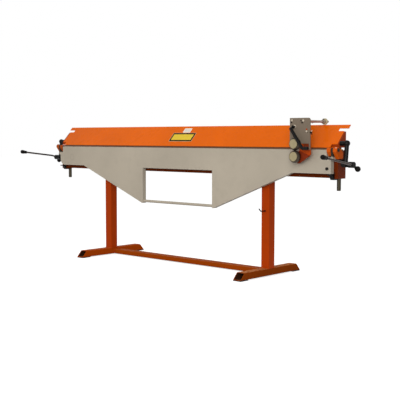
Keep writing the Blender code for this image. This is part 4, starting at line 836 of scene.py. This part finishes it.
for side, word in SIDE_WORDS:
    body = f"lever_{word}"
    hub = np.array((side * HUB_X, *CRANK_PIN))
    # The left lever is bent a little higher and ends lower than the right one
    bend, end = (0.004, 0.058) if side > 0 else (0.015, 0.0525)
    elbow = hub + (side * 0.02, -0.043, bend)
    tip = np.array((elbow[0], POST_Y - GRIP_REACH, CRANK_PIN[1] + end))
    first, last = unit(elbow - hub), unit(tip - elbow)
    depths = sorted((side * WEB_IN, side * WEB_OUT))
    out = (side, 0, 0)
    piece(f"crank_{word}_forged",
          [slab(web, *depths, along_x, 0.0014),
           turned(mm([(0, 0), (9, 0), (10, 1), (10, 63), (0, 63)]),
                  (side * (BOX_END - 0.045), *CRANK_PIVOT), out),
           turned(mm([(0, 0), (11.5, 0), (11.5, 3), (8, 6), (8, 42), (11, 44), (0, 44)]),
                  (side * (WEB_OUT - 0.002), *CRANK_PIN), out),
           turned(hub_profile, (side * HUB_IN, *CRANK_PIN), out),
           nut(hub + first * 0.0175, first, 0.021, 0.0085, hole=0.0075)],
          black, body, "black_steel", f"crank_{word}")
    lever = soften([hub + first * 0.0083, elbow, tip - last * 0.0083], 0.022, 14)
    piece(f"lever_{word}_rod", [bar(lever, 0.007, 40, 0.0006)], rod_steel, body, "bright_steel",
          f"lever_rod_{word}")
    piece(f"lever_{word}_handle", [turned(grip_profile(GRIP_LENGTH), tip - last * GRIP_LENGTH, last)],
          grip_black, body, "grip_plastic", f"lever_grip_{word}")
    knob = hub + (side * 0.0235, 0.039, -0.028)
    out = unit(knob - hub)
    piece(f"lever_{word}_ball", [ball(knob, 0.019, out), turned(neck, hub, out)],
          grip_black, body, "grip_plastic", f"lever_knob_{word}")

# ---- trim plates on the slope

for name, look in (
        ("yellow", ((0.74, 0.53, 0.045), (0.66, 0.46, 0.24), (0.01, 0.005, 0.001), 0.003, 0.0165)),
        ("white", ((0.7, 0.66, 0.6), (0.93, 0.86, 0.7), (0.86, 0.78, 0.64), 0.002, 0.009))):
    node = f"{name}_plate"
    low, high = corners(node)
    corner = np.array((low[1] + FILM_THICK * UP_SLOPE[1], low[2]))
    tall = (high[1] - corner[0]) / UP_SLOPE[0]

    def on_slope(first, depth, second):
        """Outline across and up the slope, depth out from it."""
        flat = corner + second[..., None] * UP_SLOPE + depth[..., None] * OFF_SLOPE
        return np.stack([first, flat[..., 0], flat[..., 1]], -1)

    shape = soften(rectangle((low[0], 0), (high[0], tall)), 0.007, closed=True)
    piece(f"{name}_trim", [slab(shape, 0.0, FILM_THICK, on_slope, 0.0003)], film(f"{name}_film", node, *look),
          "clamp_beam", f"{name}_film", node)

# ---- roller cutter

softened("lip_shoe", "rail_shoe", 0.9, dark_steel, "cutter_shoe")

# The plate's right end is drawn in a little
face = softened("cutter_face", "cutter_plate", 0.9, plate_grey, "cutter")
for point in face.data.vertices:
    point.co.x -= PLATE_TRIM * (point.co.x > PLATE_HIGH[0] - PLATE_END)


def on_plate(x, z, out=0.0):
    """A point in front of the plate, in millimetres from the cutter's middle and the height of the bend."""
    return mm((x, -out, z)) + (CUTTER_X, PLATE_FRONT, BEND[2])


# Knife holder: a flat strip, a wing below it that leans back, a hub, and a block in the plate's notch.
# The wing and the block carry painted shade: darker copies of the holder's paint.
holder_front, holder_rear = (corner[1] for corner in corners("knife_bracket"))
strip_rear = holder_front + 0.0045
knife_x, _, lower_z = middle("lower_knife")
origin = np.array((knife_x, BEND[2]))
fold = origin + mm([(25.5, -6.8), (107.6, -40.5)])
fold_square = unit((fold[0, 1] - fold[1, 1], fold[1, 0] - fold[0, 0]))


def leaning(first, depth, second):
    """Outline in X and Z, depth along Y, leaning back by 0.085 of the distance below the fold."""
    below = np.maximum(-(np.stack([first, second], -1) - fold[0]) @ fold_square, 0)
    return np.stack([first, depth + 0.085 * below, second], -1)


strip = [*fold, *(origin + mm([(119.5, -29), (116.5, -3), (112.5, 55), (56.5, 55), (26, -4.6)]))]
blade = [*(fold[::-1] + mm([(0.4, -0.4), (-0.4, 0.3)])),
         *(origin + mm([(0, -22), (0, -84), (3, -91), (22.5, -92.5)]))]
block = rectangle((CUTTER_X + 0.028, BEND[2] - 0.0005), (PLATE_RIGHT - 0.0095, BEND[2] + 0.0395))
piece("knife_holder",
      [slab(soften(strip, 0.003, 5, closed=True), holder_front, strip_rear, along_y, 0.0012),
       turned(mm([(0, 0), (23.8, 0), (25, 1.2), (25, 10.8), (23.8, 12), (0, 12)]),
              (knife_x, holder_rear, lower_z), FRONT)],
      holder_orange, "cutter", "beam_paint", "knife_bracket")
piece("knife_holder_wing",
      [slab(soften(blade, 0.003, 5, closed=True), holder_front, strip_rear, leaning, 0.0012)],
      holder_shaded_red, "cutter", "beam_paint")
piece("knife_holder_block",
      [slab(soften(block, 0.002, 4, closed=True), PLATE_FRONT + 0.0006, holder_front - 0.0001, along_y,
            0.0012)],
      block_shaded_red, "cutter", "beam_paint")

arms_low, arms_high = corners("cutter_arms")
cross_y = arms_high[1] - 0.007
piece("arm_frame",
      [bar([(arms_low[0], cross_y, WHEEL_Z), (arms_high[0], cross_y, WHEEL_Z)], 0.007, chamfer=0.0008)]
      + [bar([(x, arms_low[1], WHEEL_Z), (x, cross_y, WHEEL_Z)], 0.0083) for x in ARMS]
      + [bead(circle((x, cross_y - 0.006, WHEEL_Z), 0.0088, RIGHT, UP, 25), 1.6 * MM) for x in ARMS],
      arm_steel, "cutter", "bright_steel", "cutter_arms")

# Wheel on the lip: a clamped collar holds it from the front
collar = soften(mm([(8.4, 0), (13.2, 0), (13.2, 22), (8.4, 22)]), 0.0012, 4, closed=True)
piece("arm_collar",
      [turned(joined(collar), (RIGHT_ARM_X, WHEEL_Y - 0.0063, WHEEL_Z), FRONT),
       turned(joined(collar * (1, 0.25)), (RIGHT_ARM_X, WHEEL_Y + 0.0118, WHEEL_Z), FRONT)],
      collar_beige, "cutter", "bright_steel")
piece("collar_screw",
      [socket_screw((RIGHT_ARM_X, WHEEL_Y - 0.017, WHEEL_Z + 0.0128), UP, 0.0055, 0.0065)],
      black, "cutter", "black_steel")
wheel = [(8.7, 0), (13.6, 0), (14, 0.6), (14.3, 1.6), (16.8, 1.6), (17.2, 0.6), (17.7, 0), (20.3, 0),
         (21.6, 0.7), (22, 2)]
wheel = mm(wheel + [(radius, 12 - depth) for radius, depth in wheel[::-1]])
piece("lip_wheel", [turned(joined(wheel), (RIGHT_ARM_X, WHEEL_Y + 0.006, WHEEL_Z), FRONT, 64)],
      wheel_cream, "rail_wheel", "cream_paint", "rail_wheel")

cap = soften(mm([(0, 0), (30.5, 0), (31, 0.6), (31, 3.6), (29.2, 5.4), (26.5, 5.7), (20, 5.55),
                 (4.5, 5.3), (3.6, 4.5), (0, 4.5)]), 0.0012, 4)
disc = [(41.2, 0), (42.35, 0.9), (42.35, 10.8), (41.9, 11.8), (36.7, 22.7), (35.8, 23.3), (34.5, 23.4),
        (34.2, 22.6), (0, 22.6)]
hub_behind = [(0, -8.3), (14.2, -8.3), (15, -7.5), (15, 0)]
for name, start in (("upper", [(0, 0)]), ("lower", hub_behind)):
    centre = middle(f"{name}_knife")
    centre[1] = PLATE_FRONT - 0.0003
    piece(f"{name}_cutting_wheel", [turned(mm(start + disc), centre, FRONT, 72)], knife_steel,
          f"{name}_knife", "dark_steel", f"{name}_knife")
    piece(f"{name}_wheel_cap", [turned(cap, centre - (0, 0.0237, 0), FRONT, 72)], cream, f"{name}_knife",
          "cream_paint", f"{name}_knife_cap")

push = soften([on_plate(x, z, PUSH_OUT) for x, z in ((-50.5, 144), (47, 9), (95, 9))], 0.014, 14)
piece("push_bar", [bar(push, 0.011, 40, 0.0036, upright=FRONT)], black, "cutter", "black_steel",
      "push_handle")
piece("push_stud",
      [bar([on_plate(-50.5, 150, 0.2), on_plate(-49, 142.5, PUSH_OUT)], 0.0045, 24, 0.0005)],
      rod_steel, "cutter", "bright_steel")

# Screws on the plate: X, height above the bend and radius of the dark heads and of the plated ones, in mm.
# The dark heads beside the plated ones are painted shade: their shaded sides and shadows.
shade_heads = ((-70, 181, 5.6), (18, 179, 5.8), (8, 192, 3.6))
plated = ((-66, 194, 7.4), (24.5, 191.5, 7.8))
piece("plate_shade_screws",
      [socket_screw(on_plate(x, z, 1.8), FRONT, radius * MM, 0.0055) for x, z, radius in shade_heads],
      pin_steel, "cutter", "black_steel")
piece("stud_nut", [nut(on_plate(-50.5, 150, 2.4), FRONT, 0.0205, 0.013, turn=0.3)],
      black, "cutter", "black_steel")
piece("plate_washers",
      [socket_screw(on_plate(x, z), FRONT, radius * MM, 0.0035) for x, z, radius in plated]
      + [turned(soften(mm([(0, 0), (12.8, 0), (12.8, 2), (0, 2)]), 0.0008, 3), on_plate(-45, 152.8), FRONT),
         ball(on_plate(53.5, 120.5, 2), 0.0078, FRONT, 16)],
      zinc, "cutter", "bright_steel")
piece("plate_stop_screw", [socket_screw(on_plate(52.5, 134.5), FRONT, 0.0055, 0.005)],
      holder_orange, "cutter", "beam_paint")

wing_foot = np.array((PLATE_RIGHT, (PLATE_FRONT + PLATE_REAR) / 2, BEND[2] + 0.113))


def wing(way):
    """One wing of the wing nut: a blade whose outline is a rounded tongue, leaning outwards."""
    tongue = soften(mm([(3, 4), (5.5, 3.5), (16.5, 12.5), (14.5, 16.5), (6.5, 11.5), (3, 9.5)]), 0.0018, 5,
                    closed=True)
    tongue = tongue * (way, 1.0)
    return slab(tongue if way > 0 else tongue[::-1], -0.0014, 0.0014,
                lambda first, depth, second: wing_foot + np.stack([second, depth, first], -1), 0.0008)


# The two wings are lit and shaded copies: the black one is painted shade, the zinc one a painted highlight
piece("wing_nut",
      [turned(soften(mm([(0, 0), (6.8, 0), (6.2, 4), (5.2, 10.5), (3.4, 10.5), (3, 9.5), (0, 9.5)]), 0.0006,
                     3), wing_foot, RIGHT),
       turned(soften(mm([(0, 0), (3, 0), (3, 13.5), (2.2, 14.5), (0, 14.5)]), 0.0004, 3), wing_foot, RIGHT),
       wing(-1)],
      black, "cutter", "black_steel")
piece("wing_nut_lit_blade", [wing(1)], zinc, "cutter", "bright_steel")

# ---- welds and small parts

for side, word in SIDE_WORDS:
    x = side * (BEAM_HIGH[0] + 0.0002)
    seam = soften([(x, BEAM_LOW[1] + 0.006, BEAM_LOW[2]), (x, BEAM_HIGH[1], BEAM_LOW[2]),
                   (x, BEAM_HIGH[1], BEAM_HIGH[2] - 0.004)], 0.006)
    piece(f"end_box_welds_{word}", [bead(seam, 2.4 * MM)], box_shaded_red, "stand", "dark_paint")
    bar_end = side * (corners("handle_bar")[1][0] - 0.0006)
    ring = circle((bar_end, *middle("handle_bar")[1:]), 0.0108, BACK, UP, 33)
    piece(f"lift_bar_weld_{word}", [bead(ring, 2.0 * MM)], sheet_grey, "bending_beam", "sheet_paint")

# ---- stage, light and camera

FLOOR_REACH, FLOOR_GLOW = 30.0, 0.66
WHITE = (1.0, 1.0, 1.0, 1.0)

floor_mesh = bpy.data.meshes.new("floor")
floor_edge = rectangle((-FLOOR_REACH, -FLOOR_REACH), (FLOOR_REACH, FLOOR_REACH))
floor_mesh.from_pydata([(x, y, 0) for x, y in floor_edge], [], [(0, 1, 2, 3)])
floor = placed("floor", floor_mesh)


def pale_floor():
    """A pale floor that takes the object's shadow, and looks white to the camera and in reflections."""
    f = Finish("pale_floor")
    shadow = f.node("BsdfDiffuse", {}, {"Color": (0.8, 0.8, 0.8, 1.0)})
    glow = f.node("Emission", {}, {"Color": WHITE, "Strength": FLOOR_GLOW})
    lit = f.node("AddShader", {}, {0: shadow, 1: glow})
    plain = f.node("BsdfDiffuse", {}, {"Color": (0.4, 0.4, 0.4, 1.0)})
    seen = f.node("MixShader", {}, {0: f.background_rays(), 1: plain, 2: lit})
    f.node("OutputMaterial", {}, {"Surface": seen})
    return f.made


floor_mesh.materials.append(pale_floor())

# A white studio: what lights the object is dimmer than what is seen behind it
studio = Finish("studio", bpy.data.worlds)
lighting, backdrop = (studio.node("Background", {}, {"Color": WHITE, "Strength": strength})
                      for strength in (0.45, 1.0))
seen = studio.node("MixShader", {}, {0: studio.background_rays(), 1: lighting, 2: backdrop})
studio.node("OutputWorld", {}, {"Surface": seen})
bpy.context.scene.world = studio.made


def lamp(name, place, target, size, power):
    """A square soft light that faces a point."""
    light = bpy.data.lights.new(name, "AREA")
    light.shape = "SQUARE"
    light.size = size
    light.energy = power
    holder = placed(name, light)
    holder.location = place
    holder.rotation_euler = (Vector(target) - Vector(place)).to_track_quat("-Z", "Y").to_euler()


lamp("key", (5.6, -8.1, 3.6), (0.0, 0, 0.75), 6.0, 590)
lamp("fill", (-2.4, -6.8, 3.2), (0.0, 0, 0.75), 4.0, 75)
lamp("top", (0.3, 0.6, 4.5), (0.1, 0, 0.6), 3.0, 20)

camera_data = bpy.data.cameras.new("camera")
camera_data.lens, camera_data.sensor_width = 75.52, 36.0
camera = placed("camera", camera_data)
heading, pitch, roll = np.radians([42.2349, 4.2382, 0.0908])
camera.matrix_world = (Matrix.Translation((4.45322523, -4.68361359, 0.9769005))
                       @ Matrix.Rotation(heading, 4, "Z") @ Matrix.Rotation(np.pi / 2 - pitch, 4, "X")
                       @ Matrix.Rotation(roll, 4, "Z"))
bpy.context.scene.camera = camera

bpy.context.scene.view_settings.view_transform = "Standard"
